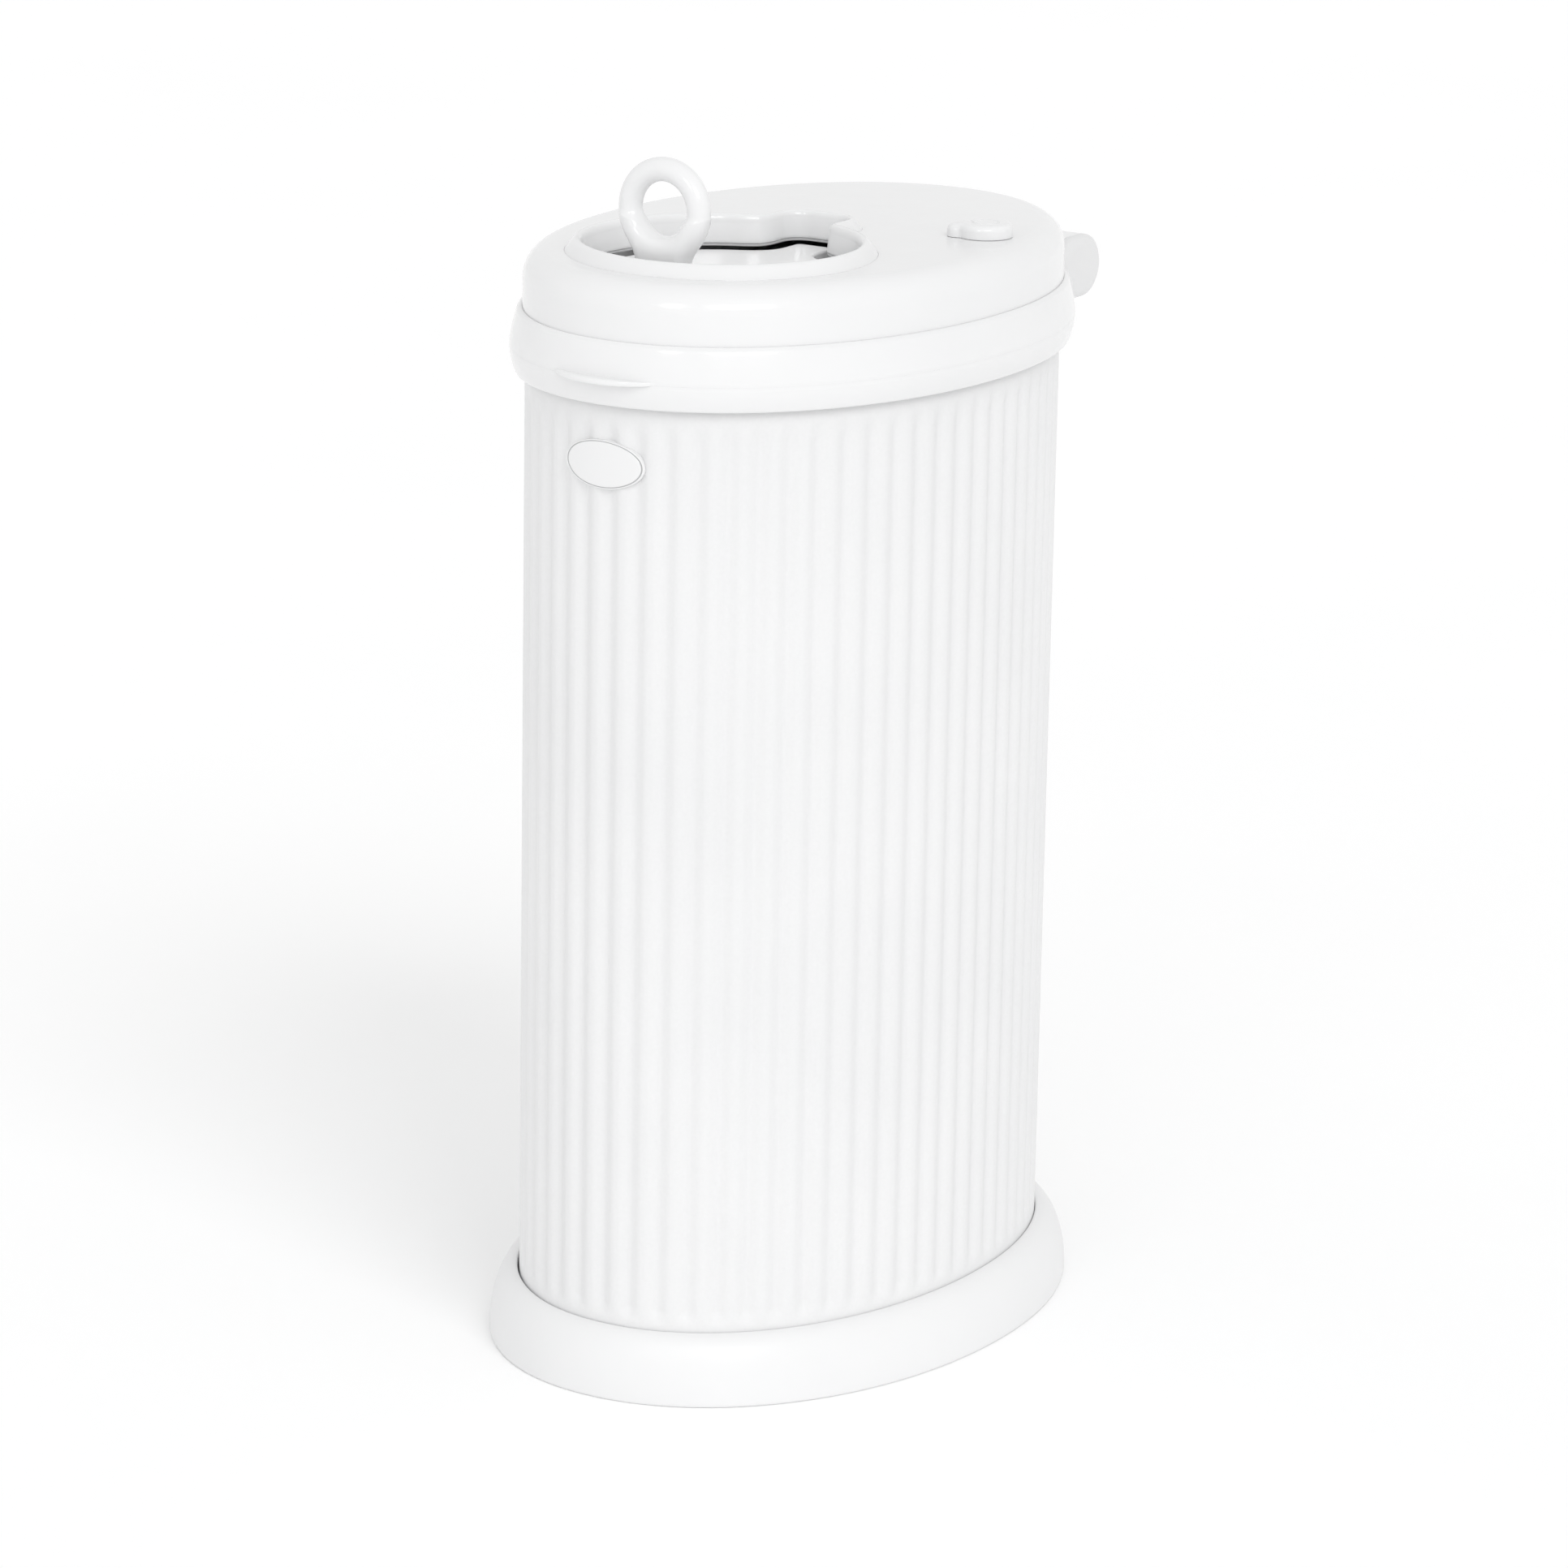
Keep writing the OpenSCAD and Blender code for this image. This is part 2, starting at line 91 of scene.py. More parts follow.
# ---------------------------------------------------------------- profiles
def fillet(points, closed=True, seg=5):
    """Rounds the corners of a polygon of (a, b, radius)."""
    out, n = [], len(points)
    for i, (a, b, r) in enumerate(points):
        if r <= 0 or (not closed and i in (0, n - 1)):
            out.append((a, b))
            continue
        p = np.array((a, b), float)
        u = np.array(points[i - 1][:2], float) - p
        v = np.array(points[(i + 1) % n][:2], float) - p
        lu, lv = np.hypot(*u), np.hypot(*v)
        u, v = u / lu, v / lv
        ang = math.acos(max(-1, min(1, float(u @ v))))
        if ang > math.pi - 0.04:
            out.append((a, b))
            continue
        t = min(r / math.tan(ang / 2), 0.49 * lu, 0.49 * lv)
        rr = t * math.tan(ang / 2)
        c = p + (u + v) / np.hypot(*(u + v)) * rr / math.sin(ang / 2)
        s, e = p + u * t - c, p + v * t - c
        a0, a1 = math.atan2(s[1], s[0]), math.atan2(e[1], e[0])
        da = (a1 - a0 + math.pi) % (2 * math.pi) - math.pi
        for k in range(seg + 1):
            q = a0 + da * k / seg
            out.append((c[0] + rr * math.cos(q), c[1] + rr * math.sin(q)))
    return np.array(out)


def spline(points, n):
    """Smooth curve through the points, n points between each two."""
    p = np.array(points, float)
    p = np.vstack([2 * p[0] - p[1], p, 2 * p[-1] - p[-2]])
    out = []
    for i in range(1, len(p) - 2):
        for k in range(n):
            t = k / n
            out.append(0.5 * ((2 * p[i]) + (p[i + 1] - p[i - 1]) * t
                              + (2 * p[i - 1] - 5 * p[i] + 4 * p[i + 1] - p[i + 2]) * t * t
                              + (3 * p[i] - p[i - 1] - 3 * p[i + 1] + p[i + 2]) * t ** 3))
    out.append(p[-2])
    return np.array(out)


def inset(profile, e):
    """Closed profile moved in by e at each point."""
    a = np.roll(profile, 1, 0) - profile
    b = profile - np.roll(profile, -1, 0)
    area = 0.5 * np.sum(profile[:, 0] * np.roll(profile[:, 1], -1) - np.roll(profile[:, 0], -1) * profile[:, 1])
    na = np.stack([-a[:, 1], a[:, 0]], 1) / (np.hypot(a[:, 0], a[:, 1])[:, None] + 1e-9)
    nb = np.stack([-b[:, 1], b[:, 0]], 1) / (np.hypot(b[:, 0], b[:, 1])[:, None] + 1e-9)
    n = na + nb
    n /= np.hypot(n[:, 0], n[:, 1])[:, None] + 1e-9
    return profile - np.sign(area) * e * n


# ---------------------------------------------------------------- meshes
def grid(points, closed_u=False, closed_v=False, keep=None):
    """Quads of a grid of points (nu, nv, 3)."""
    nu, nv = points.shape[:2]
    iu = np.arange(nu if closed_u else nu - 1)
    iv = np.arange(nv if closed_v else nv - 1)
    a, b = np.meshgrid(iu, iv, indexing="ij")
    a2, b2 = (a + 1) % nu, (b + 1) % nv
    q = np.stack([a * nv + b, a2 * nv + b, a2 * nv + b2, a * nv + b2], -1)
    if keep is not None:
        q = q[keep]
    return points.reshape(-1, 3), q.reshape(-1, 4)


def cap(loops):
    """Triangles that fill the first loop and leave the others open; each loop is (n, 3)."""
    tris = tessellate_polygon([[Vector(p) for p in loop] for loop in loops])
    return np.vstack(loops), np.array(tris, int)


def build(name, parts, mats, body, nodes=(), sharp=38, weld=1e-5, normals=None):
    """One object from parts (points in mm, faces[, material number])."""
    verts, faces, index, base = [], [], [], 0
    for part in parts:
        v, f = np.asarray(part[0], float), part[1]
        m = part[2] if len(part) > 2 else 0
        verts.append(v)
        faces += [tuple(int(i) + base for i in q) for q in f]
        index += [m] * len(f)
        base += len(v)
    me = bpy.data.meshes.new(name)
    me.from_pydata((np.vstack(verts) * MM).tolist(), [], faces)
    me.polygons.foreach_set("material_index", index)
    if normals is None:
        bm = bmesh.new()
        bm.from_mesh(me)
        bmesh.ops.remove_doubles(bm, verts=bm.verts, dist=weld * 0.5)
        bmesh.ops.dissolve_degenerate(bm, dist=1e-8, edges=bm.edges)
        bmesh.ops.recalc_face_normals(bm, faces=bm.faces)
        bm.to_mesh(me)
        bm.free()
        me.shade_smooth()
        me.set_sharp_from_angle(angle=math.radians(sharp))
    else:
        me.shade_smooth()
        me.normals_split_custom_set_from_vertices(normals.tolist())
    me.update()
    ob = bpy.data.objects.new(name, me)
    bpy.context.scene.collection.objects.link(ob)
    for m in mats:
        me.materials.append(m)
    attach(ob, body)
    if nodes:
        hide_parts(*nodes)
    return ob


def around(profile, n=384, shift=None):
    """Closed profile (m, 2) of (offset, height) carried all round the oval."""
    t = ring_t(n)[:, None]
    d = np.repeat(profile[None, :, 0], n, 0)
    z = np.repeat(profile[None, :, 1], n, 0)
    if shift is not None:
        _, _, nx, ny = oval(t, 0)
        d = shift(d, z, nx, ny)
    x, y, _, _ = oval(t, d)
    return grid(np.stack([x, y, z], -1), True, True)


def along(profile, n, t_start, t_end, end_r=0.35, bump=None):
    """Closed profile carried along part of the oval, with rounded ends; t_start and t_end give t for an offset."""
    rings = [(0.0, end_r, 1.0)]
    rings += [(math.sin(a) * end_r, end_r * (1 - math.sin(a)), 1 - math.cos(a)) for a in ()]
    ts = np.array([t_start(d) for d in profile[:, 0]])
    te = np.array([t_end(d) for d in profile[:, 0]])
    per_mm = 1 / 112.0
    rows = []
    k = 4
    for i in range(k + 1):                       # rounded start
        a = math.pi / 2 * i / k
        rows.append((end_r * (1 - math.sin(a)), ts + end_r * (1 - math.cos(a)) * per_mm * np.sign(te - ts)))
    for i in range(1, n):
        rows.append((0.0, ts + (te - ts) * i / n))
    for i in range(k, -1, -1):
        a = math.pi / 2 * i / k
        rows.append((end_r * (1 - math.sin(a)), te - end_r * (1 - math.cos(a)) * per_mm * np.sign(te - ts)))
    pts = []
    for e, t in rows:
        p = inset(profile, e) if e > 0 else profile
        d, z = p[:, 0].copy(), p[:, 1].copy()
        if bump is not None:
            d, z = bump(t, d, z)
        x, y, _, _ = oval(t, d)
        pts.append(np.stack([x, y, z], -1))
    pts = np.array(pts)
    v, f = grid(pts, False, True)
    m = len(profile)
    faces = f.tolist() + [list(range(m))[::-1], [(len(rows) - 1) * m + j for j in range(m)]]
    return v, faces


def outline_normals(p):
    a = np.roll(p, -1, 0) - np.roll(p, 1, 0)
    n = np.stack([a[:, 1], -a[:, 0]], 1)
    return n / (np.hypot(n[:, 0], n[:, 1])[:, None] + 1e-12)


def edge_rows(z0, z1, r0, r1, seg=4, flat=0.0):
    rows = []
    if r0 > 0:
        rows += [(r0 * (1 - math.sin(a)), z0 + r0 * (1 - math.cos(a))) for a in np.linspace(0, math.pi / 2, seg + 1)]
    else:
        rows.append((0, z0))
    if r1 > 0:
        rows += [(r1 * (1 - math.cos(a)), z1 - r1 * (1 - math.sin(a))) for a in np.linspace(0, math.pi / 2, seg + 1)]
    else:
        rows.append((0, z1))
    if flat > 0:
        rows.append((r1 + flat, z1))
    return rows


def slab(outer, rows, holes=(), hole_rows=None, place=None, bottom=True, top=True):
    """Plate from an anticlockwise outline with rounded edges and rounded holes; place maps (x, y, z)."""
    parts, tops, bottoms = [], [], []
    for k, line in enumerate([outer, *holes]):
        line = np.asarray(line, float)
        n = outline_normals(line)
        sign = -1 if k == 0 else 1
        use = rows if k == 0 or hole_rows is None else hole_rows
        g = np.array([np.column_stack([line + sign * e * n, np.full(len(line), z)]) for e, z in use])
        parts.append(grid(g, False, True))
        bottoms.append(g[0])
        tops.append(g[-1])
    if bottom:
        parts.append(cap(bottoms))
    if top:
        parts.append(cap(tops))
    if place is not None:
        parts = [(place(v), f) for v, f in parts]
    return parts


def circle(cx, cy, r, n=96):
    a = 2 * math.pi * np.arange(n) / n
    return np.stack([cx + r * np.cos(a), cy + r * np.sin(a)], 1)


def rect(x0, y0, x1, y1, r=1.0, seg=5):
    return fillet([(x0, y0, r), (x1, y0, r), (x1, y1, r), (x0, y1, r)], True, seg)


def lathe_x(profile, n=128):
    """Profile of (x, radius) turned about the hinge axis."""
    a = 2 * math.pi * np.arange(n) / n
    p = np.array(profile, float)
    x = np.repeat(p[:, 0][:, None], n, 1)
    y = HINGE_Y + p[:, 1][:, None] * np.cos(a)
    z = HINGE_Z + p[:, 1][:, None] * np.sin(a)
    return grid(np.stack([x, y, z], -1), False, True)


def smin(a, b, k):
    h = np.maximum(k - np.abs(a - b), 0) / k
    return np.minimum(a, b) - h * h * k * 0.25


def smax(a, b, k):
    return -smin(-a, -b, k)


def nets(f, lo, hi, h, steps=4):
    """Surface-net mesh of f < 0 in the box, its points moved onto f = 0. Gives points, quads and normals."""
    lo = np.array(lo, float)
    n = np.ceil((np.array(hi, float) - lo) / h).astype(int) + 1
    ax = [lo[i] + h * np.arange(n[i]) for i in range(3)]
    X, Y, Z = np.meshgrid(*ax, indexing="ij")
    V = f(X, Y, Z)
    inn = V < 0
    c = sum(inn[i:n[0] - 1 + i, j:n[1] - 1 + j, k:n[2] - 1 + k].astype(np.int8)
            for i in (0, 1) for j in (0, 1) for k in (0, 1))
    mixed = (c > 0) & (c < 8)
    idx = np.full(mixed.shape, -1, int)
    ci = np.array(np.nonzero(mixed))
    idx[mixed] = np.arange(ci.shape[1])
    acc, cnt = np.zeros((ci.shape[1], 3)), np.zeros(ci.shape[1])
    for axis in range(3):
        o1, o2 = [i for i in range(3) if i != axis]
        for a in (0, 1):
            for b in (0, 1):
                off = np.zeros(3, int)
                off[o1], off[o2] = a, b
                p = ci + off[:, None]
                q = p.copy()
                q[axis] += 1
                va, vb = V[tuple(p)], V[tuple(q)]
                m = (va < 0) != (vb < 0)
                t = np.where(m, va / np.where(m, va - vb, 1), 0)
                pos = p.T.astype(float)
                pos[:, axis] += t
                acc[m] += pos[m]
                cnt[m] += 1
    P = lo + h * acc / cnt[:, None]
    quads = []
    for axis in range(3):
        o1, o2 = [(1, 2), (2, 0), (0, 1)][axis]
        sl0 = [slice(None)] * 3
        sl1 = [slice(None)] * 3
        sl0[axis], sl1[axis] = slice(0, -1), slice(1, None)
        e = np.array(np.nonzero(inn[tuple(sl0)] != inn[tuple(sl1)]))
        ok = (e[o1] > 0) & (e[o2] > 0) & (e[o1] < n[o1] - 1) & (e[o2] < n[o2] - 1)
        e = e[:, ok]
        corners = []
        for a, b in ((-1, -1), (0, -1), (0, 0), (-1, 0)):
            q = e.copy()
            q[o1] += a
            q[o2] += b
            corners.append(idx[tuple(q)])
        quad = np.stack(corners, 1)
        flip = ~inn[tuple(e)]
        quad[flip] = quad[flip][:, ::-1]
        quads.append(quad)
    quads = np.vstack(quads)

    def grad(P, e=0.02):
        g = np.zeros_like(P)
        for i in range(3):
            a, b = P.copy(), P.copy()
            a[:, i] += e
            b[:, i] -= e
            g[:, i] = (f(*a.T) - f(*b.T)) / (2 * e)
        return g
    for _ in range(steps):
        g = grad(P)
        s = -f(*P.T) / np.maximum((g * g).sum(1), 0.2)
        step = s[:, None] * g
        ln = np.linalg.norm(step, axis=1)[:, None]
        P = P + step * np.minimum(1, 0.4 * h / np.maximum(ln, 1e-9))
    g = grad(P, 0.06)
    N = g / np.maximum(np.linalg.norm(g, axis=1)[:, None], 1e-9)
    return P, quads, N


# ---------------------------------------------------------------- materials
def link(nt, a, b):
    nt.links.new(a, b)


def material(name, dark, light, rough, peel, grain, broad=9.0, metallic=0.0, coat=0.0, spec=0.5, spots=0.0, brushed=None):
    """Procedural material: soft colour variation, roughness variation, orange peel and fine grain in the surface."""
    m = bpy.data.materials.new(name)
    m.use_nodes = True
    nt = m.node_tree
    nt.nodes.clear()
    N = nt.nodes.new
    out, bsdf, tc = N("ShaderNodeOutputMaterial"), N("ShaderNodeBsdfPrincipled"), N("ShaderNodeTexCoord")
    link(nt, bsdf.outputs["BSDF"], out.inputs["Surface"])
    bsdf.inputs["Metallic"].default_value = metallic
    bsdf.inputs["Specular IOR Level"].default_value = spec
    bsdf.inputs["Coat Weight"].default_value = coat
    bsdf.inputs["Coat Roughness"].default_value = 0.12
    n1 = N("ShaderNodeTexNoise")
    n1.inputs["Scale"].default_value = broad
    n1.inputs["Detail"].default_value = 4.0
    link(nt, tc.outputs["Object"], n1.inputs["Vector"])
    ramp = N("ShaderNodeValToRGB")
    ramp.color_ramp.elements[0].position, ramp.color_ramp.elements[1].position = 0.34, 0.68
    ramp.color_ramp.elements[0].color = (*dark, 1)
    ramp.color_ramp.elements[1].color = (*light, 1)
    link(nt, n1.outputs["Fac"], ramp.inputs["Fac"])
    colour = ramp.outputs["Color"]
    if spots > 0:
        v = N("ShaderNodeTexNoise")
        v.inputs["Scale"].default_value = 620
        v.inputs["Detail"].default_value = 2.0
        link(nt, tc.outputs["Object"], v.inputs["Vector"])
        mr = N("ShaderNodeMapRange")
        mr.inputs["From Min"].default_value, mr.inputs["From Max"].default_value = 0.30, 0.70
        mr.inputs["To Min"].default_value, mr.inputs["To Max"].default_value = 1 - spots, 1 + spots * 0.5
        link(nt, v.outputs["Fac"], mr.inputs["Value"])
        mx = N("ShaderNodeVectorMath")
        mx.operation = "SCALE"
        link(nt, colour, mx.inputs[0])
        link(nt, mr.outputs["Result"], mx.inputs["Scale"])
        colour = mx.outputs["Vector"]
    link(nt, colour, bsdf.inputs["Base Color"])
    n2 = N("ShaderNodeTexNoise")
    n2.inputs["Scale"].default_value = 34
    n2.inputs["Detail"].default_value = 5.0
    link(nt, tc.outputs["Object"], n2.inputs["Vector"])
    mr2 = N("ShaderNodeMapRange")
    mr2.inputs["From Min"].default_value, mr2.inputs["From Max"].default_value = 0.3, 0.7
    mr2.inputs["To Min"].default_value, mr2.inputs["To Max"].default_value = rough
    link(nt, n2.outputs["Fac"], mr2.inputs["Value"])
    link(nt, mr2.outputs["Result"], bsdf.inputs["Roughness"])
    last = None
    for scale, depth, stretch in (peel, grain):
        if depth <= 0:
            continue
        vec = tc.outputs["Object"]
        if stretch is not None:
            mp = N("ShaderNodeMapping")
            mp.inputs["Scale"].default_value = stretch
            link(nt, vec, mp.inputs["Vector"])
            vec = mp.outputs["Vector"]
        n3 = N("ShaderNodeTexNoise")
        n3.inputs["Scale"].default_value = scale
        n3.inputs["Detail"].default_value = 2.0
        n3.inputs["Roughness"].default_value = 0.45
        link(nt, vec, n3.inputs["Vector"])
        b = N("ShaderNodeBump")
        b.inputs["Strength"].default_value = 1.0
        b.inputs["Distance"].default_value = depth * MM
        link(nt, n3.outputs["Fac"], b.inputs["Height"])
        if last is not None:
            link(nt, last.outputs["Normal"], b.inputs["Normal"])
        last = b
    if last is not None:
        link(nt, last.outputs["Normal"], bsdf.inputs["Normal"])
    return m


PLASTIC = material("gloss white ABS", (0.786, 0.788, 0.792), (0.806, 0.807, 0.810), (0.12, 0.17),
                   (260, 0.012, None), (2600, 0.003, None), spec=0.5)
CAP = material("hinge cap ABS", (0.704, 0.706, 0.710), (0.724, 0.725, 0.728), (0.22, 0.30),
               (260, 0.012, None), (2600, 0.004, None), spec=0.4)
FOOT = material("satin white ABS", (0.786, 0.788, 0.792), (0.806, 0.807, 0.810), (0.36, 0.44),
                (260, 0.012, None), (2600, 0.004, None), spec=0.34)
INNER = material("plain white plastic", (0.730, 0.732, 0.736), (0.762, 0.763, 0.766), (0.34, 0.48),
                 (420, 0.020, None), (3200, 0.010, None), spec=0.42)
POWDER = material("satin white powder coat", (0.764, 0.766, 0.770), (0.786, 0.787, 0.790), (0.36, 0.46),
                  (900, 0.022, None), (2800, 0.008, None), spots=0.012, spec=0.45)
BADGE = material("badge gloss white", (0.790, 0.791, 0.794), (0.810, 0.811, 0.814), (0.10, 0.18),
                 (300, 0.008, None), (2600, 0.002, None), spec=0.5)
# Painted shade: the dark grey on the badge's shallow edge groove stands in for the shadow line round the badge, not a
# grey print.
BADGE_GROOVE_SHADE = material("badge groove painted shade", (0.40, 0.405, 0.41), (0.46, 0.465, 0.47), (0.25, 0.38),
                      (400, 0.006, None), (2600, 0.002, None), spec=0.5)
RUBBER = material("grey rubber", (0.095, 0.096, 0.10), (0.125, 0.126, 0.13), (0.62, 0.80),
                  (700, 0.05, None), (2600, 0.03, None), spec=0.35, spots=0.05)
SEAL = material("seal rubber", (0.50, 0.505, 0.51), (0.55, 0.555, 0.56), (0.55, 0.72),
                (700, 0.04, None), (2600, 0.02, None), spec=0.35, spots=0.03)
ZINC = material("zinc-plated steel", (0.50, 0.51, 0.53), (0.66, 0.66, 0.67), (0.24, 0.42),
                (500, 0.01, None), (3000, 0.012, None), metallic=1.0, broad=260)


# ---------------------------------------------------------------- foot
def foot():
    a = np.radians(np.linspace(0, 84, 22))
    outer = [(12.35, 0.12), (12.95, 0.22), (13.28, 0.7), (13.36, 1.6)]
    outer += [(0.6 + 12.8 * math.cos(q), 3 + 28.9 * math.sin(q)) for q in a]
    top = [(1.35, 31.92), (0.98, 31.88), (0.66, 31.66), (0.46, 31.3), (0.38, 30.6), (0.38, 8.0)]
    b = np.radians(np.linspace(76, 0, 12))
    inner = [(0.6 + 10.2 * math.cos(q), 0.8 + 28.5 * math.sin(q)) for q in b]
    prof = np.array(outer + top + [(-12, 8), (-12, 5), (3.0, 5)] + inner + [(11.1, 0.24), (11.8, 0.12)])

    def shift(d, z, nx, ny):
        side = np.where(nx < 0, 0.6, -0.2) * nx ** 2 * np.clip((z - 22) / 8, 0, 1) * (d > 0.2)
        return d + np.maximum(0, d - 0.6) / 12.8 * (1.15 + 1.4 * ny) + side * np.clip(1 - (d - 0.38) / 6, 0, 1)
    return around(prof, 384, shift)


build("foot_skirt", [foot()], [FOOT], "bin", ["base_skirt"], sharp=42)

pan = fillet([(-3.0, 8.02, 0.5), (-3.0, 26, 0.6), (-5.2, 26, 0.6), (-5.2, 11, 1.6), (-40, 11, 0), (-40, 8.02, 0)], True, 4)
pan_parts = []
t = ring_t(256)
g = []
for d, z in pan[:-1]:
    x, y, _, _ = oval(t, d)
    g.append(np.column_stack([x, y, np.full(len(t), z)]))
pan_parts.append(grid(np.array(g), False, True))
x, y, _, _ = oval(t, -40)
inner_top = np.column_stack([x, y, np.full(len(t), 11.0)])
pan_parts.append(cap([inner_top]))
g0 = np.column_stack([*oval(t, -3.0 - 0.5)[:2], np.full(len(t), 8.02)])
pan_parts.append(cap([g0]))
for k in range(6):
    px, py, _, _ = oval(math.radians(30 + 60 * k), -9)
    pan_parts += slab(circle(float(px), float(py), 4, 40), edge_rows(10.9, 17.0, 0, 0.7), bottom=False)
pan_parts += slab(circle(0, 0, 16, 64), edge_rows(1.5, 8.05, 0.8, 0), top=False)
for k in range(8):                               # stiffening ribs under the pan
    q = math.radians(22.5 + 45 * k)
    c, s = math.cos(q), math.sin(q)
    r = rect(15, -0.8, 60, 0.8, 0.3, 2)
    rr = np.column_stack([r[:, 0] * c - r[:, 1] * s, r[:, 0] * s + r[:, 1] * c])
    pan_parts += slab(rr, edge_rows(4.5, 8.05, 0.5, 0, 2), top=False)
for r0 in (32, 52):                              # raised rings on the pan's floor
    ring = [circle(0, 0, r0, 128) * np.array([1.0, 1.45]), circle(0, 0, r0 - 2.2, 128) * np.array([1.0, 1.45])]
    pan_parts += slab(ring[0], edge_rows(10.95, 11.9, 0, 0.4, 3), [ring[1]], bottom=False)
build("base_pan_moulding", pan_parts, [PLASTIC], "bin", ["base_pan"], sharp=35)


# ---------------------------------------------------------------- steel shell
def shell():
    per = 16
    s = ARC * np.arange(60 * per) / (60 * per)
    t = t_of_arc(s)
    u = np.arange(60 * per) / per
    depth = 1.85 * np.abs(np.cos(math.pi * u)) ** 2.6
    z = np.concatenate([[8.0, 9.0, 20.0, 31.0], np.linspace(33.5, 42.5, 13), np.linspace(60, 430, 12),
                        np.linspace(442, 459, 19), [464.0, 469.4, 470.0]])

    def smooth(a, b):
        q = np.clip((z - a) / (b - a), 0, 1)
        return q * q * (3 - 2 * q)
    amp = smooth(34.0, 42.0) * (1 - smooth(444.5, 458.5))
    d = -depth[:, None] * amp[None, :]
    outs = []
    for extra in (0.0, -0.8):
        x, y, _, _ = oval(t[:, None], d + extra)
        outs.append(np.stack([x, y, np.repeat(z[None, :], len(t), 0)], -1))
    pts = np.concatenate([outs[0], outs[1][:, ::-1]], 1)
    return grid(pts, True, True)


build("fluted_steel_shell", [shell()], [POWDER], "bin", ["steel_shell"], sharp=50)


# ---------------------------------------------------------------- badge
def badge():
    n = 240
    a = 2 * math.pi * np.arange(n) / n

    def rows(rho, dd):
        arc = -3.45 + 21.45 * np.asarray(rho, float)[:, None] * np.cos(a)
        t = t_of_arc(arc)
        t = np.where(arc < 0, t - 2 * math.pi, t)
        x, y, _, _ = oval(t, dd)
        z = 433.6 + 11.0 * np.asarray(rho, float)[:, None] * np.sin(a) + 0 * x
        return np.stack([x, y, z], -1)

    def col(v):
        return np.asarray(v, float)[:, None] + 0 * a
    arc = -3.45 + 21.45 * np.cos(a)
    valley = -1.85 * np.abs(np.cos(math.pi * arc * 60 / ARC)) ** 2.6 + 0.06
    rim = rows([0.955, 0.955, 1.0, 1.0, 0.997, 0.985], np.stack([0.10 + 0 * a, valley, valley, 0.70 + 0 * a, 0.98 + 0 * a, 1.10 + 0 * a]))
    bead = rows([0.985, 0.972, 0.958, 0.955], col([1.10, 1.14, 1.12, 1.00]))
    # groove faces take material 1: painted shade for the shadow line round the badge
    groove = rows([0.955, 0.950, 0.928, 0.923], col([1.00, 0.96, 0.96, 1.00]))
    face = rows([0.923, 0.920, 0.905, 0.88, 0.8, 0.6, 0.4, 0.2, 0.04], col([1.00, 1.10, 1.19, 1.23, 1.26, 1.28, 1.29, 1.295, 1.30]))
    return [(*grid(rim, False, True), 0), (*grid(bead, False, True), 0), (*grid(groove, False, True), 1),
            (*grid(face, False, True), 0), (*cap([face[-1]]), 0), (*cap([rim[0]]), 0)]


build("front_badge", badge(), [BADGE, BADGE_GROOVE_SHADE], "bin", ["badge"], sharp=50)

# ---------------------------------------------------------------- collar and bag ring
collar = fillet([(-2.7, 440, 0.5), (-2.7, 469.9, 0.3), (0.5, 469.95, 0.4), (0.5, 472.2, 0.5), (-2.7, 472.2, 0.8),
                 (-2.7, 484, 1.0), (-5.2, 484, 1.0), (-5.2, 472.2, 0.6), (-12, 472.15, 0.7), (-12, 470, 0.7),
                 (-5.2, 470, 0.8), (-5.2, 440, 0.6)], True, 4)
build("collar", [around(collar, 320)], [PLASTIC], "bin", ["top_collar"], sharp=45)
bag = fillet([(-7.6, 472.25, 0.8), (-7.6, 474.4, 0.9), (-19.6, 474.4, 1.6), (-19.8, 479, 0.9), (-22, 479, 0.9),
              (-22, 472.25, 1.6), (-14.4, 472.25, 0.8), (-14.4, 452, 0.8), (-12.4, 452, 0.8), (-12.4, 472.25, 0.8)], True, 4)
bag_parts = [around(bag, 320)]
for sgn in (-1, 1):                              # finger tabs at the two sides
    tab = rect(sgn * 86.5 - 4.2, -13, sgn * 86.5 + 4.2, 13, 3.0)
    bag_parts += slab(tab, edge_rows(474.2, 475.5, 0, 0.6), bottom=False)
build("bag_clamp_ring", bag_parts, [PLASTIC], "bin", ["bag_ring"], sharp=42)

# ---------------------------------------------------------------- lid band with lift lip
low = spline([(5.0, 462.0), (5.75, 464.2), (6.62, 467.6), (7.02, 470.6), (7.05, 471.4)], 5)
high = spline([(7.05, 473.4), (6.72, 476.6), (6.02, 480.0), (5.2, 483.4), (4.3, 486.8), (3.75, 488.4), (3.0, 489.3)], 5)
inside_low = [(1.34, 489.5), (1.34, 487.0), (-1.2, 487.0), (-1.2, 485.0), (1.6, 485.0), (2.9, 478), (3.4, 470), (2.9, 463.4),
              (2.75, 461.5)]
z_lip = 473.6
lip_in = [(0.0, -1.60), (0.02, -1.66), (0.40, -1.70), (0.80, -1.72), (0.93, -1.66), (0.985, -1.35), (1.0, -0.75), (1.0, -0.1),
          (0.98, 0.45), (0.92, 0.85), (0.80, 1.08), (0.5, 1.18), (0.2, 1.24), (0.02, 1.30), (0.0, 1.36)]


def band_profile():
    bottom = [(3.15, 461.1), (3.85, 461.1), (4.35, 461.2), (4.72, 461.5)]
    lip_rows = [(7.05, z_lip + h) for _, h in lip_in]
    top = [(2.6, 489.7), (2.3, 489.9), (2.0, 489.97), (1.62, 489.97), (1.36, 489.85)]
    lw = [p for p in low if p[1] < z_lip - 1.4]
    hi_ = [p for p in high if p[1] > z_lip + 1.4]
    prof = bottom + [tuple(p) for p in lw] + lip_rows + [tuple(p) for p in hi_] + top + inside_low
    first = len(bottom) + len(lw)
    return np.array(prof, float), first


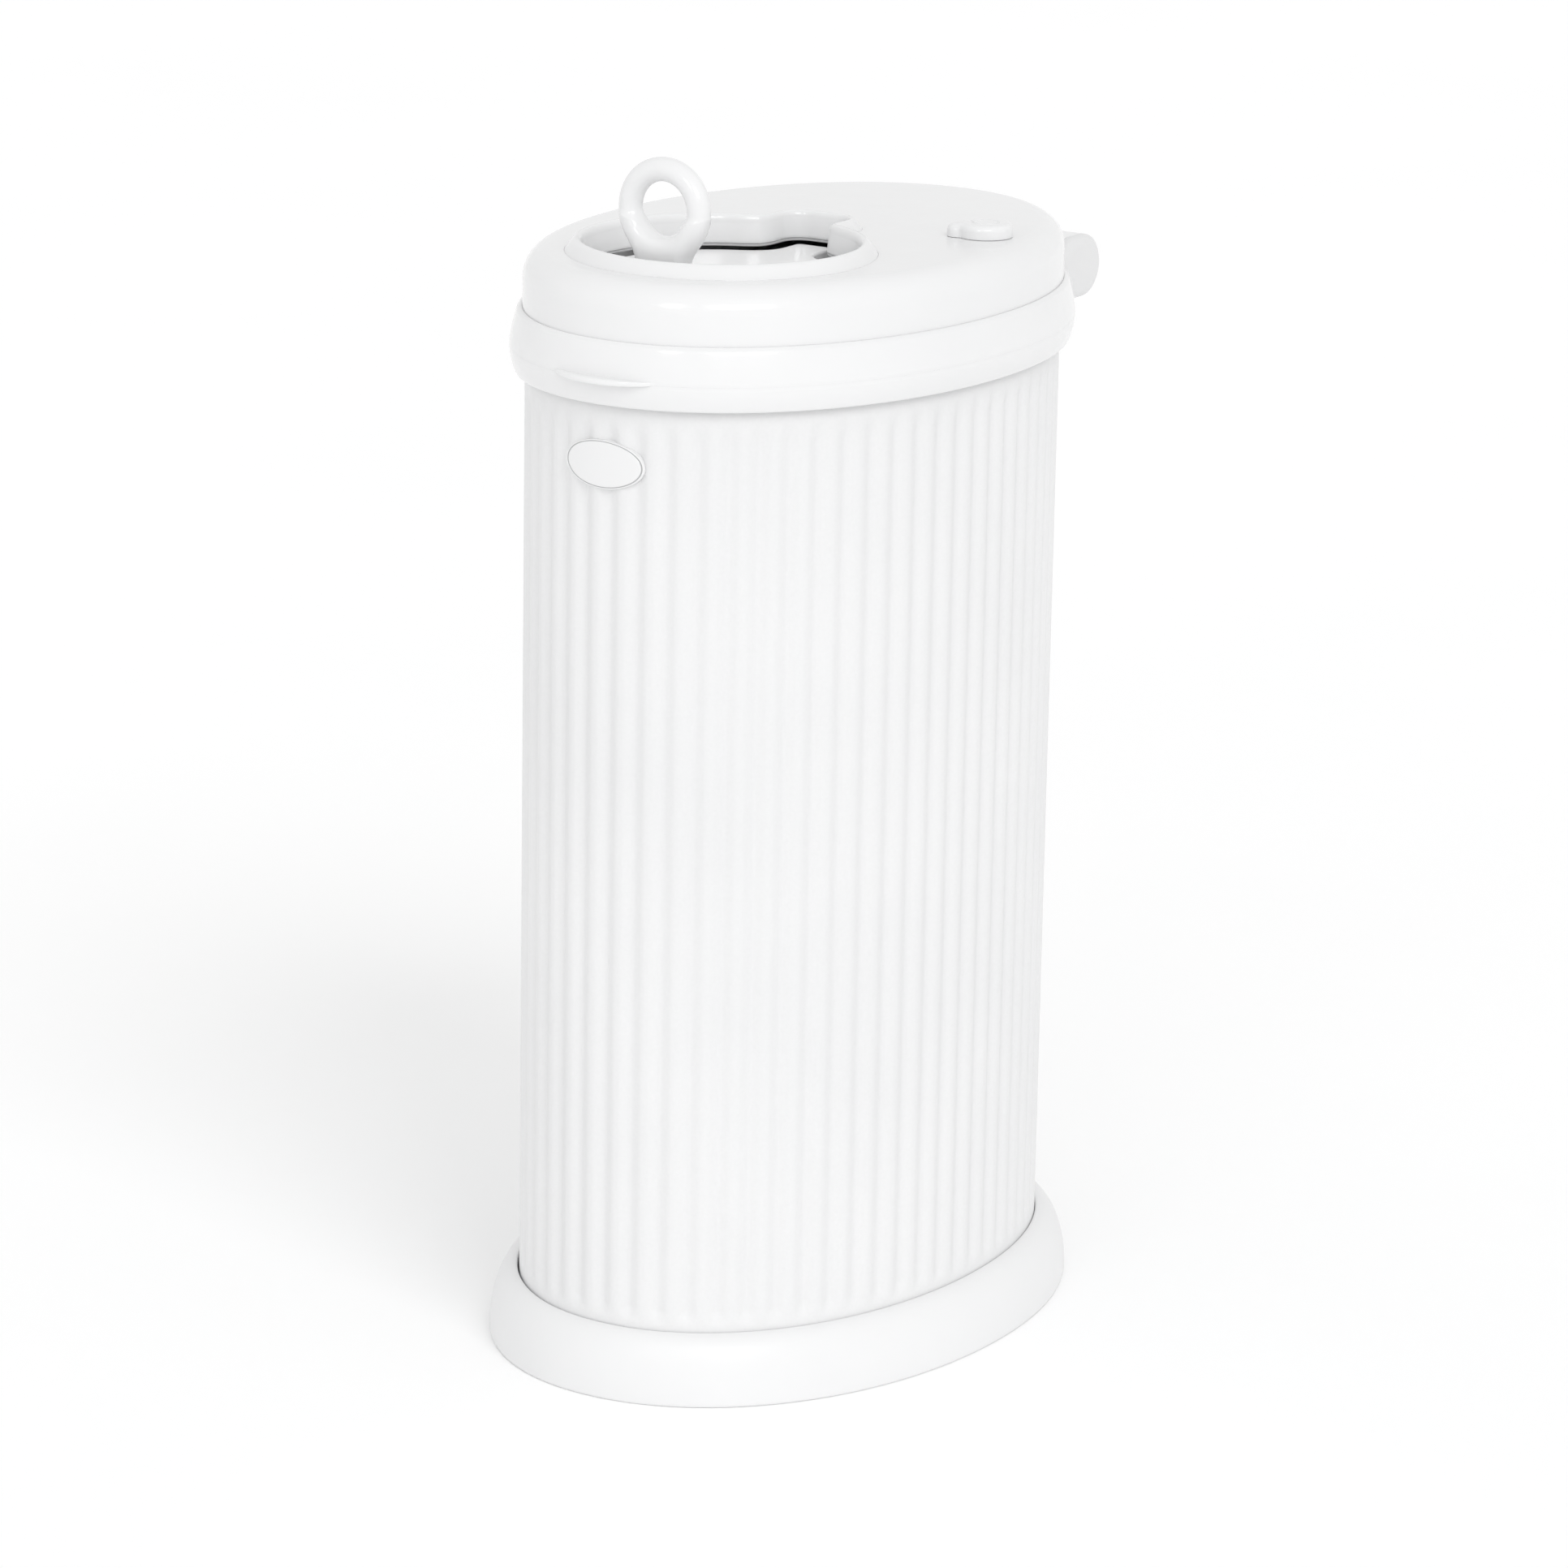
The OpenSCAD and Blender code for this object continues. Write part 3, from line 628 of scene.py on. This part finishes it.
BAND, LIP0 = band_profile()


def lip_bump(t, d, z):
    i = slice(LIP0, LIP0 + len(lip_in))
    x, y, _, _ = oval(t[i], 0)
    u = np.clip(np.abs(x + 1.5) / 24.0, 0, 1)
    reach = np.where(y < 0, 6.0 * (1 - u ** 2) ** 0.9, 0.0)
    frac = np.array([g for g, _ in lip_in])
    d[i] = d[i] + reach * frac
    z[i] = z_lip + (z[i] - z_lip) * (0.42 + 0.58 * (1 - u ** 2) ** 0.6)
    return d, z


def band_start(d):
    return rear_t(-68.0, d)


def band_end(d):
    return rear_t(68.0, d) + 2 * math.pi


band_v, band_f = along(BAND, 520, band_start, band_end, 0.3, lip_bump)
build("lid_band_frame", [(band_v, band_f)], [PLASTIC], "lid", ["lid_band"], sharp=40)

# ---------------------------------------------------------------- opening outline
def box2(x, y, hw, ye, rc):
    cy, hh = (ye + OPEN_Y) / 2, (ye - OPEN_Y) / 2
    qx, qy = np.abs(x) - (hw - rc), np.abs(y - cy) - (hh - rc)
    return np.hypot(np.maximum(qx, 0), np.maximum(qy, 0)) + np.minimum(np.maximum(qx, qy), 0) - rc


def key(x, y, k0=11.0, k1=4.0):
    """Distance from the opening's outline, negative in the opening."""
    a = np.hypot(x, y - OPEN_Y) - 61.7
    b = box2(x, y, 15.8, 21.5, 9)
    m = np.clip(np.minimum(a, b) / 9.0, 0, 1)
    return smin(a, b, k0 + (k1 - k0) * m)


def rim_w(y):
    """Width of the rim's flange: a little narrower round the rear pocket."""
    q = np.clip((y + 10) / 16, 0, 1)
    return 9.0 - 1.1 * q * q * (3 - 2 * q)


def contour(level, n=320, k0=11.0, k1=4.0, flange=False):
    """Anticlockwise outline where the distance is level, evenly spaced; with flange, the level counts from the rim's edge."""
    a = np.linspace(-math.pi / 2, 1.5 * math.pi, 6001)[:-1]
    lo, hi = np.full(len(a), 5.0), np.full(len(a), 125.0)
    for _ in range(44):
        mid = (lo + hi) / 2
        mx, my = mid * np.cos(a), OPEN_Y + mid * np.sin(a)
        inside = key(mx, my, k0, k1) - (rim_w(my) if flange else 0) < level
        lo, hi = np.where(inside, mid, lo), np.where(inside, hi, mid)
    x, y = lo * np.cos(a), OPEN_Y + lo * np.sin(a)
    x, y = np.append(x, x[0]), np.append(y, y[0])
    s = np.concatenate([[0], np.cumsum(np.hypot(np.diff(x), np.diff(y)))])
    q = s[-1] * np.arange(n) / n
    return np.stack([np.interp(q, s, x), np.interp(q, s, y)], 1)


# ---------------------------------------------------------------- domed cover
def cover():
    marks = sorted([rear_t(x, 0) for x in (48.7, 30.3, -30.3, -48.7)])
    t = np.sort(np.concatenate([np.mod(ring_t(384) + math.pi / 2, 2 * math.pi) - math.pi / 2, marks]))
    gap = np.abs(t[:, None] - np.array(marks)[None, :])
    near = (gap < 0.006) & (gap > 1e-12)
    t = t[~near.any(1)]
    n = len(t)
    a = np.radians(np.linspace(0, 90, 20))
    outer = [(1.02, 487.12), (1.2, 487.3), (1.3, 487.7), (1.3, 491.0), (1.3, 494.9), (1.3, 500.0)]
    outer += [(1.3 - 12.2 * (1 - math.cos(q)), 502.9 + 13.2 * math.sin(q)) for q in a]
    outer += [(-11.7, TOP_Z), (-13.5, TOP_Z)]
    b = np.radians(np.linspace(90, 0, 10))
    roof_in = [(-12.5, 513.6)] + [(-10.9 + 9.7 * math.cos(q), 502.9 + 10.7 * math.sin(q)) for q in b]
    inner = roof_in + [(-1.2, 500.0), (-1.2, 494.9), (-1.2, 491.0), (-1.2, 487.12)]
    prof = np.array(outer + inner)
    no = len(outer)
    x, y, _, _ = oval(t[:, None], prof[None, :, 0])
    z = np.repeat(prof[None, :, 1], n, 0)
    pts = np.stack([x, y, z], -1)
    tm = (t + np.roll(t, -1)) / 2
    tm[-1] = (t[-1] + t[0] + 2 * math.pi) / 2
    xm, ym, _, _ = oval(tm, 0)
    slot = (ym > 0) & (np.abs(xm) > 30.3) & (np.abs(xm) < 48.7)
    m = len(prof)
    keep = np.ones((n, m), bool)                 # cells between profile points j and j+1
    low_cells = [j for j in range(m) if prof[j, 1] <= 494.95 and prof[(j + 1) % m, 1] <= 494.95]
    for j in low_cells:
        keep[slot, j] = False
    keep[:, no - 1] = False                      # the roof is filled separately
    v, f = grid(pts, True, True, keep)
    parts = [(v, f)]
    # jambs and heads of the two slots
    jo, ji = 4, m - 3                            # profile points at 494.9, outside and inside
    cells = np.nonzero(slot)[0]
    head = [[i * m + jo, ((i + 1) % n) * m + jo, ((i + 1) % n) * m + ji, i * m + ji] for i in cells]
    jamb = []
    for i in cells:
        for k, side in ((i, (i - 1) % n), ((i + 1) % n, (i + 1) % n)):
            if not slot[side]:
                ring = [k * m + j for j in range(0, jo + 1)] + [k * m + j for j in range(ji, m)]
                jamb.append(ring)
    parts.append((v, head + jamb))
    # roof, with the opening's hole and the spindle's hole
    spindle = circle(75.5, 40, 3.6, 32)
    seat, low_line = contour(0.05, 480, flange=True), contour(4.75, 480)
    for j, zz, rim_line in ((no - 1, TOP_Z, seat), (no, 513.6, low_line)):
        loops = [pts[:, j], np.column_stack([rim_line, np.full(len(rim_line), zz)]),
                 np.column_stack([spindle, np.full(len(spindle), zz)])]
        parts.append(cap(loops))
    g = [np.column_stack([seat, np.full(len(seat), TOP_Z)]), np.column_stack([seat, np.full(len(seat), 515.0)]),
         np.column_stack([low_line, np.full(len(seat), 515.0)]), np.column_stack([low_line, np.full(len(seat), 513.6)])]
    parts.append(grid(np.array(g), False, True))
    sp = [np.column_stack([spindle, np.full(32, zz)]) for zz in (TOP_Z, 513.6)]
    parts.append(grid(np.array(sp), False, True))
    for sgn in (-1, 1):
        for bx, by in ((92, -30), (92, 22), (45, -126), (58, 112)):
            parts += slab(circle(sgn * bx, by, 4.5, 32), edge_rows(489.6, 513.8, 0.4, 0), top=False)
    return parts


build("dome_cover", cover(), [PLASTIC], "lid", ["lid_cover"], sharp=40)


# ---------------------------------------------------------------- rim of the opening
def rim(x, y, z):
    u, w = key(x, y), rim_w(y)
    flank = 0.809 * (u - w) + 0.588 * np.maximum(z - TOP_Z, 0)
    crown = smax(z - 524.5, flank, 4.5)
    f = smax(crown, -0.993 * (u - 0.12 * np.clip(z - 510, 0, 8)), 5.0)
    f = smax(f, NECK_Z - z, 0.8)
    return smax(f, np.minimum(u - 4.5, 515.05 - z), 0.15)


P, Q, Nn = nets(rim, (-73.0, -138.6, 507.4), (73.0, 31.5, 524.9), 0.62)
build("opening_collar_rim", [(P, Q)], [PLASTIC], "lid", ["opening_rim"], normals=Nn)

# ---------------------------------------------------------------- lid tray with chute
t = ring_t(256)
ox, oy, _, _ = oval(t, -1.6)
tray_outer = np.column_stack([ox, oy])
tray = []
rows = edge_rows(487.1, 489.5, 0.5, 0.5, 3)
nrm = outline_normals(tray_outer)
g = np.array([np.column_stack([tray_outer - e * nrm, np.full(256, z)]) for e, z in rows])
tray.append(grid(g, False, True))
c62, c60 = circle(0, OPEN_Y, 62, 192), circle(0, OPEN_Y, 60, 192)
tray.append(cap([g[0], np.column_stack([circle(0, OPEN_Y, 63.2, 192), np.full(192, 487.1)])]))
tray.append(cap([g[-1], np.column_stack([circle(0, OPEN_Y, 60.5, 192), np.full(192, 489.5)])]))
chute = [(63.2, 487.1), (62.5, 486.9), (62.12, 486.4), (62.0, 485.6), (62, 480.6), (61.75, 480.05), (61.2, 479.8), (60.8, 479.8), (60.25, 480.05),
         (60, 480.6), (60, 489.0), (60.15, 489.35), (60.5, 489.5)]
gg = np.array([np.column_stack([circle(0, OPEN_Y, r, 192), np.full(192, z)]) for r, z in chute])
tray.append(grid(gg, False, True))
for y0, y1 in ((22, 100),):                      # stiffening ribs on the tray's underside
    for xr in (-24, 0, 24):
        tray += slab(rect(xr - 0.9, y0, xr + 0.9, y1, 0.6, 3), edge_rows(485.6, 487.15, 0.5, 0, 3), top=False)
for yr in (34, 62, 88):
    tray += slab(rect(-56, yr - 0.9, 56, yr + 0.9, 0.6, 3), edge_rows(485.9, 487.15, 0.5, 0, 3), top=False)
build("lid_tray_panel", tray, [INNER], "lid", ["lid_tray"], sharp=35)

# ---------------------------------------------------------------- seals
seal = fillet([(-2.6, 487.05, 0.3), (-2.6, 485.4, 0.5), (-3.3, 484.45, 0.5), (-5.7, 484.45, 0.5), (-6.4, 485.4, 0.5),
               (-6.4, 487.05, 0.3)], True, 4)
build("lid_seal_ring", [around(seal, 300)], [SEAL], "lid", ["lid_seal"], sharp=50)
so, si = contour(3.7, 300), contour(0.25, 300)
build("door_seal_ring", slab(so, edge_rows(507.25, 508.35, 0.3, 0.3), [si]), [SEAL], "lid", ["door_seal"], sharp=45)

# ---------------------------------------------------------------- hinge
def yz_to_world(x_sign=1.0, x0=0.0):
    """Outline drawn as (y, z), thickness along x."""
    def place(v):
        return np.column_stack([x_sign * (v[:, 2] + x0), v[:, 0], v[:, 1]])
    return place


def arc_pts(a0, a1, r=15.1, n=60):
    a = np.radians(np.linspace(a0, a1, n))
    return [(HINGE_Y + r * math.cos(q), HINGE_Z + r * math.sin(q)) for q in a]


a_low = math.degrees(math.atan2(10.9, -math.sqrt(15.1 ** 2 - 10.9 ** 2)))
arm = [(119.0, 490.4), ] + [(p[0], p[1]) for p in arc_pts(a_low, 90 + 360, n=96)] + [(119.0, HINGE_Z + 15.1)]
arm = np.array(arm)
arm_cl = arm if np.sum(arm[:, 0] * np.roll(arm[:, 1], -1) - np.roll(arm[:, 0], -1) * arm[:, 1]) > 0 else arm[::-1]
leaf = []
for sgn in (1, -1):
    leaf += slab(arm_cl, edge_rows(30.6, 48.4, 0.8, 0.5, 4), [circle(HINGE_Y, HINGE_Z, 3.05, 48)],
                 hole_rows=edge_rows(30.6, 48.4, 0.3, 0.3, 2), place=yz_to_world(sgn))
leaf += slab(rect(-48.4, 118, 48.4, 130, 1.5), edge_rows(489.6, 494.0, 0.4, 0.6))
build("hinge_leaf", leaf, [PLASTIC], "lid", ["lid_hinge_leaf"], sharp=32)

a_top = math.degrees(math.atan2(8.5, -math.sqrt(15.1 ** 2 - 8.5 ** 2)))
a_bot = math.degrees(math.atan2(-13.5, -math.sqrt(15.1 ** 2 - 13.5 ** 2)))
conn = np.array([(152.0, 466.0)] + arc_pts(a_bot, a_top, n=96) + [(152.0, 488.0)])
if np.sum(conn[:, 0] * np.roll(conn[:, 1], -1) - np.roll(conn[:, 0], -1) * conn[:, 1]) < 0:
    conn = conn[::-1]
bracket = slab(conn, edge_rows(-30, 30, 0.8, 0.8, 4), [circle(HINGE_Y, HINGE_Z, 3.05, 48)],
               hole_rows=edge_rows(-30, 30, 0.3, 0.3, 2), place=yz_to_world())
brk_out = [tuple(p) for p in high if p[1] < 487.4][::-1] + [(7.06, 472.4)] + [tuple(p) for p in low][::-1] \
    + [(4.72, 461.5), (4.35, 461.25), (3.8, 461.2), (2.6, 461.25)]
brk_prof = np.array([(2.6, 488.1), (3.0, 488.15)] + brk_out)
bracket.append(along(brk_prof, 120, lambda d: rear_t(66.5, d), lambda d: rear_t(-66.5, d), 0.3))
web = np.array([(2.9, 472.5), (2.9, 481.6), (2.6, 482.0), (-2.4, 482.0), (-2.65, 481.6), (-2.65, 472.5)])
bracket.append(along(web, 100, lambda d: rear_t(59.5, d), lambda d: rear_t(-59.5, d), 0.3))
build("hinge_bracket_body", bracket, [PLASTIC], "bin", ["hinge_bracket"], sharp=35)

caps = []
cheek = np.array([(p[0], p[1]) for p in arc_pts(-90, 90, n=56)] + [(p[0] - 9.0, p[1]) for p in arc_pts(90, 270, n=56)])
cap_rows = [(0.2, 48.47), (0.0, 48.6), (0.0, 49.9)]
cap_rows += [(4.5 - 4.5 * math.cos(q), 49.9 + 3.4 * math.sin(q)) for q in np.radians(np.linspace(9, 90, 10))]
cap_rows += [(5.7, 53.3), (10.1, 53.3)]
for sgn in (1, -1):
    caps += slab(cheek, cap_rows, place=yz_to_world(sgn))
build("hinge_end_caps", caps, [CAP], "lid", ["hinge_caps"], sharp=32)

# ---------------------------------------------------------------- door
def door():
    parts = []
    # guided plate: circle, straight sides and rear tongue
    pts = [(-69, -22, 2), (-69, -100, 3)]
    front = [(66 * math.cos(q), OPEN_Y + 66 * math.sin(q), 0) for q in np.radians(np.linspace(211.5, 328.5, 60))]
    pts += front
    pts += [(69, -100, 3), (69, -22, 2), (52, -22, 3)]
    side = [(66 * math.cos(q), OPEN_Y + 66 * math.sin(q), 0) for q in np.radians(np.linspace(41.5, 66.3, 16))]
    pts += side + [(26, 25, 11), (-26, 25, 11)]
    pts += [(-p[0], p[1], p[2]) for p in side[::-1]] + [(-52, -22, 3)]
    line = fillet(pts, True, 6)
    parts += slab(line, edge_rows(499.0, 501.5, 0.5, 0.5, 3))
    top = contour(-5.7, 320, 14, 6)
    parts += slab(top, edge_rows(501.4, PLATEAU_Z, 0, 1.5, 6, 1.2), bottom=False)
    return parts


build("sliding_door", door(), [PLASTIC], "door", ["door_panel"], sharp=35)


def handle(x, y, z):
    yy = y + 112.7
    r = np.hypot(x, z - 541.8)
    tor = np.hypot(r - 18.0, yy) - 5.4
    w = np.interp(z, [506.9, 508.5, 511, 517, 522, 527, 531, 535, 539], [14.3, 13.4, 13.0, 12.9, 13.4, 14.8, 16.7, 18.4, 19.5])
    hd = np.interp(z, [506.9, 509, 514, 522, 530], [6.4, 6.1, 6.0, 5.7, 5.45])
    yc = np.interp(z, [506.9, 518, 528], [-0.7, -0.6, 0.0])
    qx, qy = np.abs(x) - (w - 4.4), np.abs(yy - yc) - (hd - 4.4)
    st = np.hypot(np.maximum(qx, 0), np.maximum(qy, 0)) + np.minimum(np.maximum(qx, qy), 0) - 4.4
    st = np.maximum(st, z - 536)
    st = smax(st, 14.6 - r, 3.5)
    f = smin(tor, st, 5.5)
    return np.maximum(f, PLATEAU_Z + 0.02 - z)


P, Q, Nn = nets(handle, (-25, -121, 506.1), (25, -104.5, 566.6), 0.55)
build("ring_pull_handle", [(P, Q)], [PLASTIC], "door", ["ring_handle"], normals=Nn)


def rounded(rad, z, z0, z1, r_top, r_low):
    """Upright puck of radius rad (negative inside) between z0 and z1, its upper edge rounded by r_top."""
    f = smax(rad, z - z1, 2.2 * r_top)
    return smax(f, z0 - z, r_low)


def knob(x, y, z):
    X, Y = x - 75.5, y - 40
    r = np.hypot(X, Y)
    c, s = math.cos(math.radians(215.7)), math.sin(math.radians(215.7))
    a, b = X * c + Y * s, -X * s + Y * c
    tail = np.hypot(a - np.clip(a, 4, 12.6), b) - 5.2
    disc = rounded(r - 12.9, z, 516.22, 522.72, 1.5, 0.1)
    tongue = rounded(tail + 0.4, z, 516.22, 522.3, 1.8, 0.1)
    f = smin(disc, tongue, 1.8)
    f = smax(f, 516.22 - z, 0.1)
    f = smax(f, 0.62 - np.hypot(r - 6.1, z - 522.92), 0.35)
    return smax(f, -(r - 3.4) * (z < 520.0) - 50 * (z >= 520.0), 0.3)


P, Q, Nn = nets(knob, (55, 20, 515.7), (90, 54.0, 523.6), 0.24)
build("lock_turn_knob", [(P, Q)], [PLASTIC], "lock", ["lock_knob"], normals=Nn)


# ---------------------------------------------------------------- screws with cross-recessed heads
def screw_mesh(r_head, h_head, r, l):
    """Pan-head screw along +Z: head below the origin, shank above."""
    def f(x, y, z):
        rr = np.hypot(x, y)
        dome = h_head * (1 - 0.22 * (rr / r_head) ** 2)
        head = smax(smax(rr - r_head, -z - dome, 0.7), z - 0.0, 0.2)
        arm1 = np.maximum(np.abs(x) - 0.42, np.abs(y) - 1.75)
        arm2 = np.maximum(np.abs(y) - 0.42, np.abs(x) - 1.75)
        cross = np.maximum(np.minimum(arm1, arm2), z + h_head * 0.35)
        return smax(head, -cross, 0.15)
    p, q, _ = nets(f, (-r_head - 0.3, -r_head - 0.3, -h_head - 0.3), (r_head + 0.3, r_head + 0.3, 0.3), 0.2, 2)
    prof = [(r, -0.05), (r, 0.4)]
    z = 0.4
    while z < l - 1.6:
        prof += [(r, z + 0.15), (r - 0.28, z + 0.5), (r, z + 0.85)]
        z += 0.9
    prof += [(r, l - 1.2), (0.35 * r, l - 0.1), (0.02, l)]
    a = 2 * math.pi * np.arange(20) / 20
    g = np.array([np.column_stack([rr * np.cos(a), rr * np.sin(a), np.full(20, zz)]) for rr, zz in prof])
    return [(p, q), grid(g, False, True)]


def screws(name, node, body, spec, places):
    base = screw_mesh(*spec)
    parts = []
    for m in places:
        for v, f in base:
            parts.append((v @ m[:3, :3].T + m[:3, 3], f))
    build(name, parts, [ZINC], body, [node], sharp=30)


def at(x, y, z, turn=0.0):
    c, s = math.cos(turn), math.sin(turn)
    m = np.eye(4)
    m[:2, :2] = [[c, -s], [s, c]]
    m[:3, 3] = (x, y, z)
    return m


boss = [(92, -30), (92, 22), (45, -126), (58, 112)]
screws("tray_fixing_screws", "tray_screws", "lid", (3.2, 1.8, 1.5, 14),
       [at(sg * bx, by, 487.1, 0.4 * i + sg) for i, (bx, by) in enumerate(boss) for sg in (-1, 1)])
screws("rail_fixing_screws", "rail_screws", "lid", (2.8, 1.6, 1.5, 4),
       [at(sg * 73.4, by, 487.1, 0.7 * i + sg) for i, by in enumerate((-80, -5, 80)) for sg in (-1, 1)])
screws("leaf_fixing_screws", "leaf_screws", "lid", (3.2, 1.8, 1.5, 6), [at(sg * 38, 126, 487.1, sg * 0.5) for sg in (-1, 1)])
screws("handle_fixing_screws", "handle_screws", "door", (3.2, 1.8, 1.5, 16), [at(sg * 7, -112.7, 499.0, sg * 0.9) for sg in (-1, 1)])
base_places = []
for k in range(6):
    px, py, _, _ = oval(math.radians(30 + 60 * k), -9)
    base_places.append(at(float(px), float(py), 5.0, 0.8 * k))
screws("base_fixing_screws", "base_screws", "bin", (3.4, 2.0, 1.8, 9), base_places)
hinge_places = []
for deg in (71, 90, 109):
    px, py, nx, ny = [float(v) for v in oval(math.radians(deg), -5.35)]
    m = np.eye(4)
    m[:3, 2] = (nx, ny, 0)
    m[:3, 0] = (0, 0, -1)
    m[:3, 1] = np.cross(m[:3, 2], m[:3, 0])
    m[:3, 3] = (px, py, 477.5)
    hinge_places.append(m)
screws("hinge_fixing_screws", "hinge_screws", "bin", (2.6, 1.7, 1.5, 9), hinge_places)

# feet: round rubber pads with a rounded edge and a recessed middle
pads = []
for k in range(6):
    px, py, _, _ = oval(math.radians(60 * k), -6.2)
    pads += slab(circle(float(px), float(py), 5.4, 48), edge_rows(0.0, 4.98, 0.9, 0.3, 5), [circle(float(px), float(py), 1.9, 24)],
                 hole_rows=edge_rows(0.0, 4.98, 0.5, 0.1, 3))
pads += slab(circle(0, 0, 13, 64), edge_rows(0.0, 1.5, 0.6, 0.0, 4), [circle(0, 0, 4, 32)], hole_rows=edge_rows(0.0, 1.5, 0.4, 0, 3))
build("rubber_feet", pads, [RUBBER], "bin", ["foot_pads"], sharp=40)

# CAD nodes that stay get their finished materials
for names, m in ((("rail_left", "rail_right", "lock_spindle", "lock_bolt"), INNER), (("hinge_pin",), ZINC)):
    for nme in names:
        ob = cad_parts[nme]
        ob.data.materials.clear()
        ob.data.materials.append(m)

# ---------------------------------------------------------------- floor, light, camera
me = bpy.data.meshes.new("floor")
me.from_pydata([(-15, -15, 0), (15, -15, 0), (15, 15, 0), (-15, 15, 0)], [], [(0, 1, 2, 3)])
floor = bpy.data.objects.new("floor", me)
bpy.context.scene.collection.objects.link(floor)
me.materials.append(material("pale studio floor", (0.978, 0.979, 0.980), (0.988, 0.988, 0.988), (0.8, 0.9), (60, 0.01, None), (400, 0.004, None),
                             broad=1.5, spec=0.1))

world = bpy.data.worlds.new("studio")
world.use_nodes = True
wt = world.node_tree
bg = wt.nodes["Background"]
wc, ws, wr = wt.nodes.new("ShaderNodeTexCoord"), wt.nodes.new("ShaderNodeSeparateXYZ"), wt.nodes.new("ShaderNodeValToRGB")
wt.links.new(wc.outputs["Generated"], ws.inputs["Vector"])
wt.links.new(ws.outputs["Z"], wr.inputs["Fac"])
wr.color_ramp.elements[0].position, wr.color_ramp.elements[1].position = 0.0, 1.0
wr.color_ramp.elements[0].color = (1, 1, 1, 1)
wr.color_ramp.elements[1].color = (0.84, 0.84, 0.84, 1)
wd, wf, wm = wt.nodes.new("ShaderNodeVectorMath"), wt.nodes.new("ShaderNodeValToRGB"), wt.nodes.new("ShaderNodeVectorMath")
wd.operation, wm.operation = "DOT_PRODUCT", "SCALE"
wd.inputs[1].default_value = (0.87, 0.49, 0.0)   # the studio is darker behind the bin's right side
wt.links.new(wc.outputs["Generated"], wd.inputs[0])
wt.links.new(wd.outputs["Value"], wf.inputs["Fac"])
wf.color_ramp.elements[0].position, wf.color_ramp.elements[1].position = 0.15, 0.95
wf.color_ramp.elements[0].color, wf.color_ramp.elements[1].color = (1, 1, 1, 1), (0.96, 0.96, 0.96, 1)
wt.links.new(wr.outputs["Color"], wm.inputs[0])
wt.links.new(wf.outputs["Color"], wm.inputs["Scale"])
wt.links.new(wm.outputs["Vector"], bg.inputs["Color"])
bg.inputs["Strength"].default_value = 0.945
bpy.context.scene.world = world

AIM = Vector((0, 0, 0.40))


def softbox(name, az, el, dist, width, height, radiance):
    """Area light that faces the bin, at an azimuth and elevation; its power follows from its radiance."""
    lamp = bpy.data.lights.new(name, "AREA")
    lamp.shape = "RECTANGLE"
    lamp.size, lamp.size_y = width, height
    lamp.energy = radiance * math.pi * width * height
    ob = bpy.data.objects.new(name, lamp)
    a, e = math.radians(az), math.radians(el)
    back = Vector((math.sin(a) * math.cos(e), -math.cos(a) * math.cos(e), math.sin(e)))
    ob.location = AIM + back * dist
    ob.rotation_mode = "QUATERNION"
    ob.rotation_quaternion = back.to_track_quat("Z", "Y")
    bpy.context.scene.collection.objects.link(ob)
    return ob


def lamp_rays(ob, diffuse, glossy):
    ob.visible_diffuse, ob.visible_glossy, ob.visible_camera = diffuse, glossy, False


lamp_rays(softbox("wide_softbox", 46, 29, 2.6, 1.2, 0.5, 9.5), False, True)
lamp_rays(softbox("small_softbox", 8, 28, 2.6, 0.36, 0.45, 13.0), False, True)
sun = bpy.data.lights.new("key_light", "SUN")
sun.energy, sun.angle = 0.74, math.radians(28)
sun_ob = bpy.data.objects.new("key_light", sun)
ka, ke = math.radians(58), math.radians(40)
sun_ob.rotation_mode = "QUATERNION"
sun_ob.rotation_quaternion = Vector((math.sin(ka) * math.cos(ke), -math.cos(ka) * math.cos(ke), math.sin(ke))).to_track_quat("Z", "Y")
bpy.context.scene.collection.objects.link(sun_ob)
lamp_rays(sun_ob, True, False)
fill = bpy.data.lights.new("fill_light", "SUN")
fill.energy, fill.angle = 0.31, math.radians(50)
fill_ob = bpy.data.objects.new("fill_light", fill)
fa, fe = math.radians(20), math.radians(22)
fill_ob.rotation_mode = "QUATERNION"
fill_ob.rotation_quaternion = Vector((math.sin(fa) * math.cos(fe), -math.cos(fa) * math.cos(fe), math.sin(fe))).to_track_quat("Z", "Y")
bpy.context.scene.collection.objects.link(fill_ob)
lamp_rays(fill_ob, True, False)

cam_data = bpy.data.cameras.new("camera")
cam_data.sensor_width = 36
cam_data.sensor_fit = "HORIZONTAL"
cam_data.lens = 7699.34 / 1932 * 36
cam_data.clip_start, cam_data.clip_end = 0.1, 60
cam = bpy.data.objects.new("camera", cam_data)
bpy.context.scene.collection.objects.link(cam)
az, el, roll = math.radians(31.85487), math.radians(15.30354), math.radians(1.00540)
back = Vector((math.sin(az) * math.cos(el), -math.cos(az) * math.cos(el), math.sin(el)))
right = Vector((math.cos(az), math.sin(az), 0))
up = back.cross(right)
r2 = right * math.cos(roll) + up * math.sin(roll)
u2 = -right * math.sin(roll) + up * math.cos(roll)
cam.matrix_world = Matrix(((r2.x, u2.x, back.x, 1.492337), (r2.y, u2.y, back.y, -2.405981), (r2.z, u2.z, back.z, 1.027563), (0, 0, 0, 1)))
bpy.context.scene.camera = cam
bpy.context.scene.view_settings.view_transform = "Standard"
